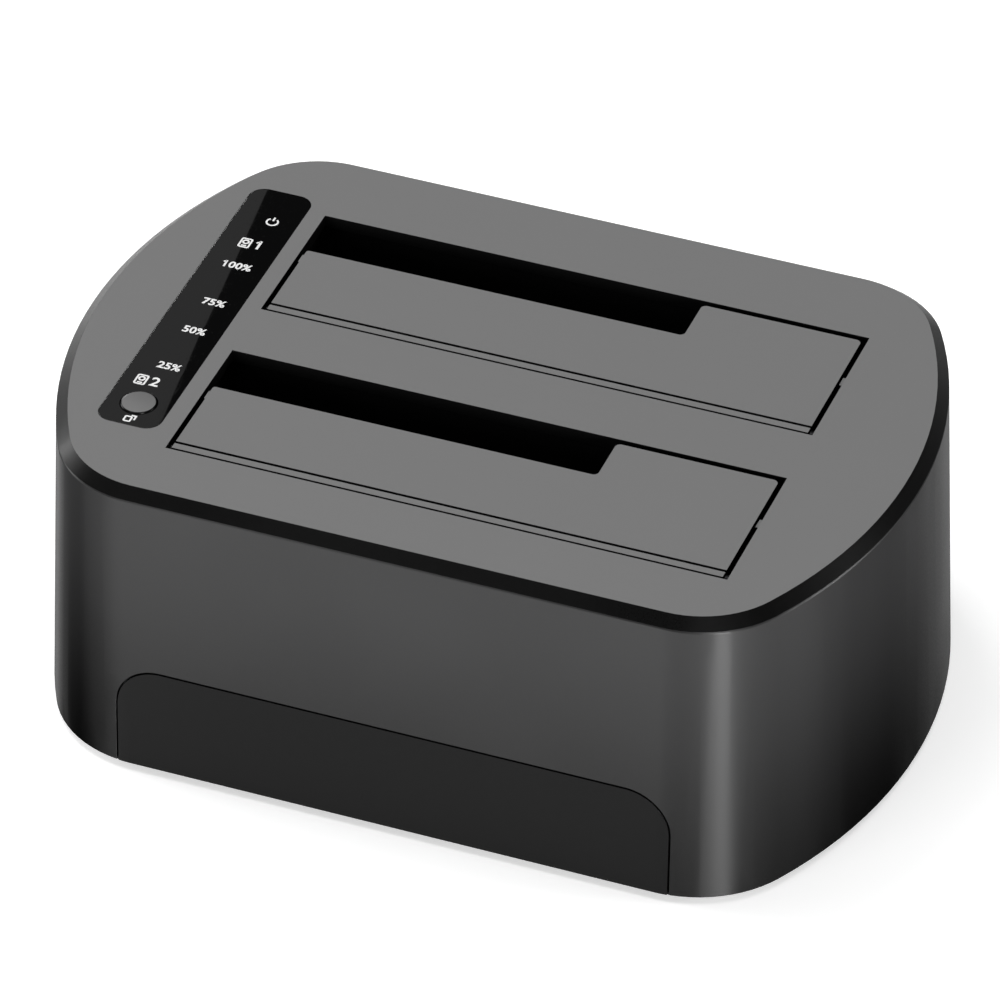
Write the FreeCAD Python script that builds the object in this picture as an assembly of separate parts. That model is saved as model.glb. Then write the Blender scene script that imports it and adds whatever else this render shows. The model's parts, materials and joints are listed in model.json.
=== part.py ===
import FreeCAD, Part
import math
import os

# Dual-bay drive dock with offline copy, in millimetres.
# The origin is under the middle of the housing, on the surface the rubber feet stand on.
# +X runs along the housing to the right, -Y is the front, +Z is up.

V = FreeCAD.Vector

# ---------------------------------------------------------------- driving sizes
# Housing outline: straight front and back, ends bowed to a large radius, round corners
rim_length = 155.6
rim_depth = 107.3
end_arc_radius = 90.0
corner_radius = 19.8
overall_height = 60.5
flare = 2.1              # how far each wall stands out further at its foot than at the rim
wall = 2.2
shell_lip = 0.45         # small bevel on the shell's top edge, under the cover's rim
foot_drop = 1.6          # the feet lift the housing by this much

# Top cover
cover_plate = 2.4
rim_chamfer_drop = 1.8
rim_chamfer_inset = 2.1
skirt_depth = 3.0
skirt_wall = 1.4
part_gap = 0.15          # clearance between housing mouldings that fit inside one another
overcut = 1.0            # how far a cutting shape runs past the piece it cuts
fuse_lap = 0.2           # how far two shapes that become one piece run into each other

# Drive bays: each takes a 3.5 inch drive (101.6 x 26.1) or a 2.5 inch drive (69.85 wide)
bay_width = 104.0
bay_depth = 30.6
bay_land = 13.2          # cover between the two openings
bays_centre_x = 4.0
bays_centre_y = -2.2
bay_wall = 1.6
bay_floor = 1.6
bay_floor_above_board = 4.9
bay_slack = 0.2          # the well is this much wider than the opening above it, on each side
drive_play = 0.8         # between a drive and the rear wall of its well

# Flap doors
flap_side_gap = 1.0
flap_back_gap = 1.25
flap_front_gap = 0.45
flap_plate = 1.6
flap_corner = 1.0
notch_width = 73.0       # open part for a 2.5 inch drive, from the opening's left edge
notch_depth = 11.1       # from the opening's rear edge
heel_strip = 1.4
heel_groove_width = 0.6
heel_groove_depth = 0.5
barrel_radius = 1.6
barrel_skin = 0.1        # plate left over the barrel
hinge_rod_radius = 0.8
running_gap = 0.05
hinge_rod_short = 0.4    # the rod ends this far inside each ear
flap_rib_width = 1.0
flap_rib_depth = 1.3
flap_rib_reach = 15.0
flap_rib_shares = (0.12, 0.4, 0.66)
edge_rib_inset = 2.5
edge_rib_margin = 1.0
bump_length = 2.3
bump_proud = 0.3
bump_drop = 0.1          # the bump and the nub stop this far below the top face
bump_root = 1.0          # and run this far into the piece they stand on
bump_from_notch = 1.4
nub_proud = 0.5
nub_from_front = 16.8
ear_thickness = 3.0
ear_half_width = 2.6
ear_drop = 2.6

# Torsion springs on the hinge rods
spring_wire = 0.3
spring_coil_radius = 1.0
spring_pitch = 0.62
spring_turns = 3
spring_facets = 4
spring_from_end = 6.0
spring_room = 0.6
spring_leg_reach = 8.0
spring_leg_drop = 5.0
spring_leg_gap = 0.05
spring_slot_room = 0.2   # how far the slot in the flap's barrel runs past it
spring_slot_drop = 4.0

# Control panel
panel_width = 12.0
panel_length = 74.7
panel_corner = 3.0
panel_to_bay = 3.35
panel_centre_y = 1.65
panel_thickness = 1.0
panel_gap = 0.08
# Lamp places along the panel, from its centre towards the rear
lamp_places = {
    "power": 28.2,
    "drive_1": 20.2,
    "step_100": 13.2,
    "step_75": 1.4,
    "step_50": -7.6,
    "step_25": -19.0,
    "drive_2": -24.2,
}
lamp_cell_width = 5.0
lamp_cell_length = 2.4
lamp_length = 2.0
lamp_width = 1.25
lamp_height = 0.8

# Clone button and the switch under it
button_from_centre = -30.75
button_radius = 3.2
button_gap = 0.2
button_proud = 0.5
button_flange = 0.9
button_flange_thickness = 0.7
button_stem_radius = 1.6
button_travel = 0.5
button_crown = 0.25
button_edge = 0.2        # bevel round the cap
button_flange_gap = 0.1
tact_size = 6.0
tact_height = 2.5
tact_plunger_radius = 1.7
tact_plunger_gap = 0.1
tact_plunger_grip = 1.0
tact_plunger_proud = 0.5 # what stands out of the switch when it is pressed
tact_plunger_room = 0.1
tact_corner = 0.6

# Panel board and light block
baffle_width = 8.4
baffle_height = 3.6
baffle_end_wall = 1.6
baffle_thin_wall = 0.4   # what the button's hole leaves of the block's sides
baffle_roof = 0.8
baffle_corner = 1.0
tact_room = 0.2          # round the switch in its cell
panel_board_thickness = 1.0
panel_board_width = 9.4
panel_boss_radius = 2.5
panel_boss_pilot = 0.8
panel_boss_beyond = 3.7
panel_boss_shift = 3.0
panel_tab_radius = 3.0
panel_tab_gap = 0.3
panel_board_short = 1.0  # the board is this much shorter than the strip at each end

# Base plate, posts and screws
base_thickness = 2.4
ledge_width = 1.4
ledge_height = 1.6
post_radius = 3.5
post_web_reach = 1.5
post_web_thickness = 1.2
post_web_height = 12.0
post_from_end = 25.8
post_from_side = 8.15
collar_radius = 4.6
collar_top = 8.0
housing_screw_radius = 1.45
housing_head_radius = 2.8
housing_head_height = 2.0
housing_screw_bite = 8.0
screw_gap = 0.1
screw_head_room = 0.2    # height of the head's recess beyond the head
screw_sides = 6          # small screws and their pilot holes are drawn as prisms
boss_sides = 8           # and so are the bosses and standoffs that they bite into
post_sides = 12          # and the housing posts with their collars
foot_radius = 6.5
foot_sink = 0.8
foot_edge = 0.5
vent_width = 2.2
vent_length = 20.0
vent_pitch = 7.0
vent_count = 7
vent_row_offset = 14.0

# Front insert
insert_width = 104.0
insert_height = 21.2
insert_corner = 8.5
insert_thickness = 1.2
insert_gap = 0.3
insert_tab_width = 6.0
insert_tab_height = 3.0
insert_tab_hook = 0.8

# Main board
board_height = 8.0       # underside above the standing surface
board_thickness = 1.6
board_from_left_end = 16.8
board_from_right_end = 18.8
board_from_post = 2.0
board_tongue_from_post = 8.0
board_tongue_gap = 0.6   # between the tongue and the wall with the ports
board_tongue_corner = 1.0
board_corner = 2.0
standoff_radius = 3.0
standoff_pilot_sink = 0.6
standoff_inset_x = 5.0
standoff_inset_y = 6.0
board_screw_radius = 1.2
board_head_radius = 2.3
board_head_height = 1.5
board_screw_length = 5.5

# SATA receptacles
sata_from_side = 30.1    # connector's centre from the drive's left side
sata_from_back = 3.5     # connector's centre from the drive's rear face
drive_35_width = 101.6
sata_length = 42.0
sata_depth = 5.6
sata_block_height = 6.2
sata_tower_width = 4.0
sata_tower_height = 9.6
sata_signal_slot = 10.4
sata_power_slot = 20.8
sata_slot_depth = 5.2
sata_slot_width = 2.2
sata_slot_wall = 1.6
sata_slot_leg = 1.3
sata_lead_in = 1.0
sata_cut_gap = 0.4
contact_pitch = 1.27
contact_width = 0.6
contact_thickness = 0.35
contact_short = 0.6
signal_contacts = 7
power_contacts = 15

# Rear ports, seen along +X
port_recess_left = 40.0
port_recess_right = 34.0
port_recess_below_board = 3.0
port_recess_above_board = 14.4
port_recess_depth = 2.0
port_pad = 1.8           # wall left behind the recess
port_pad_margin = 1.6
port_recess_corner = 3.0
port_gap = 0.25
usb_x = 22.0             # on the left half
usb_width = 12.0
usb_height = 10.9
usb_depth = 15.5
usb_metal = 0.4
usb_bevel = 1.6
usb_tongue_width = 5.6
usb_tongue_height = 3.2
usb_tongue_level = 0.45
usb_tongue_back = 1.2
usb_upper_drop = 2.9
usb_upper_height = 1.2
usb_block_length = 6.0
jack_x = 8.0
jack_width = 9.0
jack_height = 11.0
jack_depth = 13.0
jack_nose_radius = 3.9
jack_face_gap = 0.4      # between the jack's square body and the wall
jack_bore_radius = 3.15
jack_bore_depth = 9.5
jack_centre_height = 6.5
jack_pin_radius = 1.05
jack_pin_round = 0.63
jack_pin_length = 8.5
switch_x = 26.0
switch_body_width = 13.0
switch_body_height = 9.0
switch_body_depth = 11.0
switch_bezel_width = 15.4
switch_bezel_height = 11.0
switch_bezel_thickness = 1.5
switch_bezel_corner = 1.2
switch_lift = 0.6
rocker_radius = 5.2
rocker_height = 7.0
rocker_clearance = 0.25
rocker_tilt = 11.0       # degrees to either side of level
rocker_throat = 2.0      # face height above the pivot at the rocker's middle
rocker_sink = 0.55
trunnion_radius = 1.0
trunnion_length = 0.8
trunnion_end_gap = 0.15
switch_pin_offset = 3.5
switch_pin_width = 2.4
switch_pin_thickness = 0.5
switch_pin_reach = 1.6
switch_pin_drop = 1.2

# Parts that stand on the main board
# Chips: bay they stand under, x, y from the bay's middle, length, width, height, corner cut
chip_places = [
    ("front", 22.0, 4.0, 12.0, 12.0, 1.4, 0.3),
    ("rear", 22.0, -4.0, 10.0, 10.0, 1.4, 0.3),
    ("front", -6.0, -4.0, 5.2, 6.2, 1.6, 0.15),
    ("rear", 2.0, -6.0, 5.2, 6.2, 1.6, 0.15),
    ("front", 40.0, 2.0, 5.0, 5.0, 1.5, 0.15),
    ("rear", 40.0, -2.0, 5.0, 5.0, 1.5, 0.15),
]
part_corner_cut = 1.2
capacitor_radius = 3.15
capacitor_base = 6.6
capacitor_base_height = 0.6
capacitor_base_cut = 0.8
capacitor_height = 7.7
capacitor_from_jack = 9.5
capacitor_from_face = 6.5
capacitor_inset = 8.0
capacitor_spread = 22.0
inductor_size = 6.8
inductor_height = 2.8
inductor_xs = (-36.0, -10.0)
crystal_length = 10.6
crystal_width = 4.2
crystal_height = 3.2
crystal_offsets = (4.0, 30.0)

# Cable between the boards
cable_width = 8.0
cable_thickness = 1.0
cable_lead = 3.0
cable_bow_angle = 32.0
header_length = 10.0
header_width = 4.5
header_height = 3.2
panel_header_height = 2.6

# Well screws and their bosses under the cover
well_tab = 7.0
well_tab_thickness = 1.6
well_tab_cut = 0.7
well_boss_length = 6.0
well_boss_radius = 2.6
well_screw_radius = 1.1
well_head_radius = 2.1
well_head_height = 1.4
well_outer_tabs = 34.0   # tabs on the outer sides of the two wells, from the bays' middle line
well_inner_tabs = {"rear": 39.0, "front": 18.0}

# ---------------------------------------------------------------- derived levels and places
shell_foot_z = foot_drop
rim_z = overall_height - rim_chamfer_drop
cover_under_z = overall_height - cover_plate
base_top_z = shell_foot_z + base_thickness
board_top_z = board_height + board_thickness
bay_floor_top_z = board_top_z + bay_floor_above_board
bay_floor_under_z = bay_floor_top_z - bay_floor
port_recess_low = board_top_z - port_recess_below_board
port_recess_high = board_top_z + port_recess_above_board
post_x = rim_length / 2 - post_from_end
post_y = rim_depth / 2 - post_from_side
board_left = rim_length / 2 - board_from_left_end
board_right = rim_length / 2 - board_from_right_end
board_half_depth = post_y - post_radius - board_from_post
board_tongue = post_x - board_tongue_from_post
standoff_x = board_right - standoff_inset_x
standoff_y = board_half_depth - standoff_inset_y
bay_pitch = bay_depth + bay_land
barrel_drop = barrel_radius + barrel_skin
opening_left = bays_centre_x - bay_width / 2
opening_right = bays_centre_x + bay_width / 2
bay_centres = {
    "rear": bays_centre_y + bay_pitch / 2,
    "front": bays_centre_y - bay_pitch / 2,
}
hinge_z = overall_height - barrel_drop
panel_x = opening_left - panel_to_bay - panel_width / 2
window_under_z = overall_height - panel_thickness
panel_board_top_z = cover_under_z - baffle_height
panel_board_under_z = panel_board_top_z - panel_board_thickness
button_y = panel_centre_y + button_from_centre
flare_per_mm = flare / (rim_z - shell_foot_z)


# ---------------------------------------------------------------- helpers
def block(x_low, x_high, y_low, y_high, z_low, z_high):
    """A box between two corners."""
    return Part.makeBox(x_high - x_low, y_high - y_low, z_high - z_low, V(x_low, y_low, z_low))


def post(radius, x, y, z_low, z_high):
    """A vertical cylinder."""
    return Part.makeCylinder(radius, z_high - z_low, V(x, y, z_low), V(0, 0, 1))


def rod_x(radius, x_low, x_high, y, z):
    """A cylinder along X."""
    return Part.makeCylinder(radius, x_high - x_low, V(x_low, y, z), V(1, 0, 0))


def rod_y(radius, x, y_low, y_high, z):
    """A cylinder along Y."""
    return Part.makeCylinder(radius, y_high - y_low, V(x, y_low, z), V(0, 1, 0))


def rounded_face(corners):
    """A flat face from corners (point, radius): straight edges joined by tangent arcs."""
    edges = []
    starts = []
    ends = []
    arcs = []
    count = len(corners)
    for i in range(count):
        before = corners[i - 1][0]
        here, radius = corners[i]
        after = corners[(i + 1) % count][0]
        if radius == 0:
            starts.append(here)
            ends.append(here)
            arcs.append(None)
            continue
        to_before = (before - here).normalize()
        to_after = (after - here).normalize()
        half_angle = to_before.getAngle(to_after) / 2
        reach = radius / math.tan(half_angle)
        bisector = (to_before + to_after).normalize()
        centre = here + bisector * (radius / math.sin(half_angle))
        start = here + to_before * reach
        end = here + to_after * reach
        middle = centre - bisector * radius
        starts.append(start)
        ends.append(end)
        arcs.append(Part.Arc(start, middle, end).toShape())
    for i in range(count):
        if arcs[i] is not None:
            edges.append(arcs[i])
        edges.append(Part.LineSegment(ends[i], starts[(i + 1) % count]).toShape())
    return Part.Face(Part.Wire(edges))


def plan_slab(corners, z_low, z_high):
    """An upright slab whose plan has corners (x, y, radius)."""
    face = rounded_face([(V(x, y, z_low), radius) for x, y, radius in corners])
    return face.extrude(V(0, 0, z_high - z_low))


def plan_rectangle(x_low, x_high, y_low, y_high, radius, z_low, z_high):
    """An upright slab with a round-cornered rectangular plan."""
    places = [(x_low, y_low), (x_high, y_low), (x_high, y_high), (x_low, y_high)]
    return plan_slab([(x, y, radius) for x, y in places], z_low, z_high)


def upright_slab(corners, y_low, y_high):
    """A slab standing across Y whose front view has corners (x, z, radius)."""
    face = rounded_face([(V(x, y_low, z), radius) for x, z, radius in corners])
    return face.extrude(V(0, y_high - y_low, 0))


def outline(inset, z):
    """The housing's plan outline at height z, moved inward by inset."""
    half_length = rim_length / 2 - inset
    half_depth = rim_depth / 2 - inset
    end_radius = end_arc_radius - inset
    round_radius = corner_radius - inset
    round_y = half_depth - round_radius
    end_centre = half_length - end_radius
    lead = end_radius - round_radius
    round_x = end_centre + math.sqrt(lead ** 2 - round_y ** 2)
    meet_x = (round_x - end_centre) / lead
    meet_y = round_y / lead
    bisector = (V(0, 1, 0) + V(meet_x, meet_y, 0)).normalize()
    meet = V(end_centre + end_radius * meet_x, end_radius * meet_y, 0)
    crown = V(round_x, round_y, 0) + bisector * round_radius
    flat = V(round_x, half_depth, 0)

    def at(point, sign_x, sign_y):
        return V(point.x * sign_x, point.y * sign_y, z)

    tip = V(half_length, 0, 0)
    edges = [
        Part.LineSegment(at(flat, -1, -1), at(flat, 1, -1)).toShape(),
        Part.Arc(at(flat, 1, -1), at(crown, 1, -1), at(meet, 1, -1)).toShape(),
        Part.Arc(at(meet, 1, -1), at(tip, 1, 1), at(meet, 1, 1)).toShape(),
        Part.Arc(at(meet, 1, 1), at(crown, 1, 1), at(flat, 1, 1)).toShape(),
        Part.LineSegment(at(flat, 1, 1), at(flat, -1, 1)).toShape(),
        Part.Arc(at(flat, -1, 1), at(crown, -1, 1), at(meet, -1, 1)).toShape(),
        Part.Arc(at(meet, -1, 1), at(tip, -1, 1), at(meet, -1, -1)).toShape(),
        Part.Arc(at(meet, -1, -1), at(crown, -1, -1), at(flat, -1, -1)).toShape(),
    ]
    return Part.Wire(edges)


def flared_outline(inset, z):
    """The outline on the flared wall at height z."""
    return outline(inset - flare_per_mm * (rim_z - z), z)


def flared_solid(inset, z_low, z_high):
    """A solid inside the flared wall, moved inward by inset."""
    return Part.makeLoft([flared_outline(inset, z_low), flared_outline(inset, z_high)], True, True)


def straight_solid(inset, z_low, z_high):
    """A solid with upright sides that follows the rim's outline."""
    return Part.Face(outline(inset, z_low)).extrude(V(0, 0, z_high - z_low))


def wall_y(z):
    """Distance from the middle to the outer face of the front or rear wall at height z."""
    return rim_depth / 2 + flare_per_mm * (rim_z - z)


def save(node, shape):
    """Writes one sub-part as a STEP file."""
    shape = shape.removeSplitter()
    shape.exportStep("parts/" + node + ".step")


def prism(radius, x, y, z_low, z_high, sides=screw_sides):
    """An upright prism: the plain form of a small screw, its pilot hole or its boss."""
    points = []
    for i in range(sides + 1):
        angle = 2 * math.pi * i / sides
        points.append(V(x + radius * math.cos(angle), y + radius * math.sin(angle), z_low))
    return Part.Face(Part.makePolygon(points)).extrude(V(0, 0, z_high - z_low))


def cut_corner_slab(x_low, x_high, y_low, y_high, cut, z_low, z_high):
    """An upright slab with a rectangular plan whose corners are cut off."""
    points = [
        V(x_low + cut, y_low, z_low),
        V(x_high - cut, y_low, z_low),
        V(x_high, y_low + cut, z_low),
        V(x_high, y_high - cut, z_low),
        V(x_high - cut, y_high, z_low),
        V(x_low + cut, y_high, z_low),
        V(x_low, y_high - cut, z_low),
        V(x_low, y_low + cut, z_low),
        V(x_low + cut, y_low, z_low),
    ]
    return Part.Face(Part.makePolygon(points)).extrude(V(0, 0, z_high - z_low))


def solids(shapes):
    """Separate solids kept together in one sub-part."""
    return Part.makeCompound(shapes)


def mirrored_places(x, y):
    """The four places mirrored about both middle lines."""
    return [(x * sign_x, y * sign_y) for sign_x in (-1, 1) for sign_y in (-1, 1)]


# ---------------------------------------------------------------- bay places shared by several pieces
port_face_y = wall_y(port_recess_high) - port_recess_depth
screw_places = mirrored_places(post_x, post_y)
standoff_places = mirrored_places(standoff_x, standoff_y)


def bay_box(name):
    """Left, right, front and rear edges of a bay's opening in the cover."""
    centre = bay_centres[name]
    return opening_left, opening_right, centre - bay_depth / 2, centre + bay_depth / 2


def hinge_y(name):
    """Y of a flap's hinge axis."""
    front = bay_box(name)[2]
    return front + flap_front_gap + barrel_radius


def well_tabs(name):
    """Plan places of the four screw tabs of a bay's well."""
    _, _, front, rear = bay_box(name)
    reach = bay_slack + bay_wall + well_tab / 2
    rear_offset = well_outer_tabs if name == "rear" else well_inner_tabs[name]
    front_offset = well_outer_tabs if name == "front" else well_inner_tabs[name]
    places = []
    for side in (-1, 1):
        places.append((bays_centre_x + side * rear_offset, rear + reach, 1))
        places.append((bays_centre_x + side * front_offset, front - reach, -1))
    return places


# ---------------------------------------------------------------- housing
def front_arch(gap, y_low, y_high):
    """The front insert's arch shape, made smaller by gap."""
    half = insert_width / 2 - gap
    low = shell_foot_z - insert_height
    high = shell_foot_z + insert_height - gap
    round_radius = insert_corner - gap
    corners = [(-half, low, 0), (half, low, 0), (half, high, round_radius), (-half, high, round_radius)]
    return upright_slab(corners, y_low, y_high)


def insert_tabs(gap):
    """Snap tabs that hold the insert, through the front wall."""
    face = wall_y(shell_foot_z)
    shapes = []
    for x in (-insert_width / 3, 0, insert_width / 3):
        z = shell_foot_z + insert_height - insert_corner
        half_width = insert_tab_width / 2 + gap
        half_height = insert_tab_height / 2 + gap
        tab = block(x - half_width, x + half_width, -face + insert_thickness / 2,
                    -wall_y(z) + wall + insert_tab_hook + gap, z - half_height, z + half_height)
        shapes.append(tab)
    return shapes


def make_body_shell():
    """The flared ring of side walls, with its inner ledge, front recess and rear ports."""
    bevel_z = rim_z - shell_lip
    wires = [flared_outline(0, shell_foot_z), flared_outline(0, bevel_z), outline(shell_lip, rim_z)]
    shell = Part.makeLoft(wires, True, True)
    shell = shell.cut(flared_solid(wall, shell_foot_z - overcut, rim_z + overcut))
    ledge_top_z = base_top_z + ledge_height
    ledge = flared_solid(wall / 2, base_top_z, ledge_top_z)
    ledge = ledge.cut(flared_solid(wall + ledge_width, base_top_z - overcut, ledge_top_z + overcut))
    shell = shell.fuse(ledge)
    reach = rim_depth
    arch = front_arch(0, -reach, 0)
    shell = shell.cut(arch.cut(flared_solid(insert_thickness, shell_foot_z - insert_height, rim_z)))
    shell = shell.cut(insert_tabs(insert_gap)[0])
    for tab in insert_tabs(insert_gap)[1:]:
        shell = shell.cut(tab)
    pad = block(-port_recess_left - port_pad_margin, port_recess_right + port_pad_margin,
                port_face_y - port_pad, rim_depth,
                port_recess_low - port_pad_margin, port_recess_high + port_pad_margin)
    shell = shell.fuse(pad.common(flared_solid(wall / 2, shell_foot_z, rim_z)))
    recess = [
        (-port_recess_left, port_recess_low, port_recess_corner),
        (port_recess_right, port_recess_low, port_recess_corner),
        (port_recess_right, port_recess_high, port_recess_corner),
        (-port_recess_left, port_recess_high, port_recess_corner),
    ]
    shell = shell.cut(upright_slab(recess, port_face_y, reach))
    usb_low = board_top_z - port_gap
    usb_high = board_top_z + usb_height + port_gap
    usb_half = usb_width / 2 + port_gap
    bevel = usb_bevel
    usb_hole = [
        (-usb_x - usb_half, usb_low, 0),
        (-usb_x + usb_half, usb_low, 0),
        (-usb_x + usb_half, usb_high - bevel, 0),
        (-usb_x + usb_half - bevel, usb_high, 0),
        (-usb_x - usb_half + bevel, usb_high, 0),
        (-usb_x - usb_half, usb_high - bevel, 0),
    ]
    shell = shell.cut(upright_slab(usb_hole, post_y, reach))
    jack_z = board_top_z + jack_centre_height
    shell = shell.cut(rod_y(jack_nose_radius + port_gap, jack_x, post_y, reach, jack_z))
    low = board_top_z + switch_lift - port_gap
    high = board_top_z + switch_lift + switch_body_height + port_gap
    half = switch_body_width / 2 + port_gap
    shell = shell.cut(block(switch_x - half, switch_x + half, post_y, reach, low, high))
    return shell


def make_front_insert():
    """The plain arched panel let into the front wall, with its snap tabs."""
    skin = flared_solid(0, shell_foot_z, rim_z)
    skin = skin.cut(flared_solid(insert_thickness, shell_foot_z - overcut, rim_z + overcut))
    insert = skin.common(front_arch(insert_gap, -rim_depth, 0))
    for tab in insert_tabs(0):
        insert = insert.fuse(tab)
    return insert


def ear_boxes(name, gap):
    """The blocks under the cover that carry the ends of a hinge rod, made larger by gap."""
    left, right, _, _ = bay_box(name)
    y = hinge_y(name)
    low = cover_under_z - ear_drop - gap
    boxes = []
    for x_low, x_high in ((left - ear_thickness, left), (right, right + ear_thickness)):
        boxes.append(block(x_low - gap, x_high + gap, y - ear_half_width - gap, y + ear_half_width + gap,
                           low, cover_under_z + gap))
    return boxes


def panel_board_ends():
    """Plan places of the two screws of the panel board, clear of the housing posts."""
    clear_x = -post_x - post_radius - post_web_reach - panel_tab_radius - panel_tab_gap
    x = min(panel_x - panel_boss_shift, clear_x)
    reach = panel_length / 2 + panel_boss_beyond
    return [(x, panel_centre_y - reach), (x, panel_centre_y + reach)]


def make_top_cover():
    """The top plate with its chamfered rim, two bay openings, panel recess, skirt and posts."""
    plate = Part.makeLoft([outline(0, rim_z), outline(rim_chamfer_inset, overall_height)], True, True)
    inner = wall + part_gap
    plate = plate.fuse(straight_solid(inner, cover_under_z, rim_z + fuse_lap))
    skirt_low = cover_under_z - skirt_depth
    skirt = straight_solid(inner, skirt_low, cover_under_z + fuse_lap)
    skirt = skirt.cut(straight_solid(inner + skirt_wall, skirt_low - overcut, cover_under_z + overcut))
    cover = plate.fuse(skirt)
    for x, y in screw_places:
        boss = prism(post_radius, x, y, collar_top, cover_under_z + fuse_lap, post_sides)
        half_web = post_radius + post_web_reach
        half_rib = post_web_thickness / 2
        web = block(x - half_web, x + half_web, y - half_rib, y + half_rib, cover_under_z - post_web_height,
                    cover_under_z + fuse_lap)
        cover = cover.fuse(boss).fuse(web)
        pilot = prism(housing_screw_radius + screw_gap, x, y, collar_top - overcut,
                      collar_top + housing_screw_bite + overcut)
        cover = cover.cut(pilot)
    for name in bay_centres:
        left, right, front, rear = bay_box(name)
        for ear in ear_boxes(name, 0):
            cover = cover.fuse(ear)
        for x, y, _ in well_tabs(name):
            boss = prism(well_boss_radius, x, y, cover_under_z - well_boss_length, cover_under_z + fuse_lap,
                         boss_sides)
            pilot = prism(well_screw_radius + screw_gap, x, y, cover_under_z - well_boss_length - overcut,
                          cover_under_z)
            cover = cover.fuse(boss).cut(pilot)
        cover = cover.cut(block(left, right, front, rear, skirt_low - overcut, overall_height + overcut))
        rod_room = rod_x(hinge_rod_radius + running_gap, left - ear_thickness - overcut,
                         right + ear_thickness + overcut, hinge_y(name), hinge_z)
        cover = cover.cut(rod_room)
        nub_y = front + nub_from_front
        nub = block(right - nub_proud, right + bump_root, nub_y - bump_length / 2, nub_y + bump_length / 2,
                    cover_under_z, overall_height - bump_drop)
        cover = cover.fuse(nub)
    half_width = panel_width / 2
    half_length = panel_length / 2
    recess = plan_rectangle(panel_x - half_width, panel_x + half_width, panel_centre_y - half_length,
                            panel_centre_y + half_length, panel_corner, window_under_z,
                            overall_height + overcut)
    cover = cover.cut(recess)
    for place in lamp_places.values():
        y = panel_centre_y + place
        cell = block(panel_x - lamp_cell_width / 2, panel_x + lamp_cell_width / 2, y - lamp_cell_length / 2,
                     y + lamp_cell_length / 2, cover_under_z - overcut, window_under_z + overcut)
        cover = cover.cut(cell)
    hole_radius = button_radius + button_flange + button_gap
    cover = cover.cut(post(hole_radius, panel_x, button_y, cover_under_z - overcut, window_under_z + overcut))
    for x, y in panel_board_ends():
        boss = prism(panel_boss_radius, x, y, panel_board_top_z, cover_under_z + fuse_lap, boss_sides)
        pilot = prism(panel_boss_pilot + screw_gap, x, y, panel_board_top_z - overcut, cover_under_z)
        cover = cover.fuse(boss).cut(pilot)
    return cover


def make_base_plate():
    """The bottom cover: foot recesses, screw collars, board standoffs and vents."""
    edge = wall + part_gap - flare_per_mm * (rim_z - base_top_z)
    plate = Part.Face(outline(edge, shell_foot_z)).extrude(V(0, 0, base_thickness))
    for x, y in screw_places:
        plate = plate.fuse(prism(collar_radius, x, y, base_top_z - fuse_lap, collar_top, post_sides))
    for x, y in standoff_places:
        plate = plate.fuse(prism(standoff_radius, x, y, base_top_z - fuse_lap, board_height, boss_sides))
    seat = shell_foot_z + foot_sink
    for x, y in screw_places:
        plate = plate.cut(post(foot_radius + part_gap, x, y, shell_foot_z - overcut, seat))
        plate = plate.cut(prism(housing_head_radius + screw_gap, x, y, seat - overcut,
                                seat + housing_head_height + screw_head_room))
        plate = plate.cut(prism(housing_screw_radius + screw_gap, x, y, seat, collar_top + overcut))
    for x, y in standoff_places:
        plate = plate.cut(prism(board_screw_radius + screw_gap, x, y, base_top_z - standoff_pilot_sink,
                                board_height + overcut))
    first = -vent_pitch * (vent_count - 1) / 2
    for row in (-1, 1):
        for i in range(vent_count):
            x = first + i * vent_pitch
            y = row * vent_row_offset
            slot = block(x - vent_width / 2, x + vent_width / 2, y - vent_length / 2, y + vent_length / 2,
                         shell_foot_z - overcut, base_top_z + overcut)
            plate = plate.cut(slot)
    return plate


def make_feet():
    """Four round rubber feet, bevelled at the edge they stand on."""
    feet = []
    top = shell_foot_z + foot_sink
    for x, y in screw_places:
        bevel = Part.makeCone(foot_radius - foot_edge, foot_radius, foot_edge, V(x, y, 0), V(0, 0, 1))
        feet.append(bevel.fuse(post(foot_radius, x, y, foot_edge, top)))
    return solids(feet)


def pan_screw(x, y, z_seat, radius, length, head_radius, head_height, up):
    """A screw whose head bears at z_seat; up is the way its shank points."""
    head_end = z_seat - up * head_height
    shank_end = z_seat + up * length
    head = prism(head_radius, x, y, min(z_seat, head_end), max(z_seat, head_end))
    return head.fuse(prism(radius, x, y, min(z_seat, shank_end), max(z_seat, shank_end)))


# ---------------------------------------------------------------- drive bays
def make_bay_well(name):
    """The open-topped well under a bay opening, with its screw tabs and connector cut-out."""
    left, right, front, rear = bay_box(name)
    room = bay_slack
    out = bay_slack + bay_wall
    tab_top = cover_under_z - well_boss_length
    body = plan_rectangle(left - out, right + out, front - out, rear + out, bay_wall, bay_floor_under_z,
                          cover_under_z)
    for x, y, side in well_tabs(name):
        half = well_tab / 2
        reach = half + bay_wall / 2
        y_low = y - half if side < 0 else y - reach
        y_high = y + reach if side < 0 else y + half
        body = body.fuse(cut_corner_slab(x - half, x + half, y_low, y_high, well_tab_cut,
                                         tab_top - well_tab_thickness, tab_top))
    body = body.cut(block(left - room, right + room, front - room, rear + room, bay_floor_top_z,
                          cover_under_z + overcut))
    for x, y, _ in well_tabs(name):
        body = body.cut(prism(well_screw_radius + screw_gap, x, y, tab_top - well_tab_thickness - overcut,
                              tab_top + overcut))
    for ear in ear_boxes(name, bay_slack):
        body = body.cut(ear)
    sx, sy = sata_centre(name)
    gap = sata_cut_gap
    body = body.cut(block(sx - sata_length / 2 - gap, sx + sata_length / 2 + gap, sy - sata_depth / 2 - gap,
                          sy + sata_depth / 2 + gap, bay_floor_under_z - overcut, bay_floor_top_z + overcut))
    return body


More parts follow.
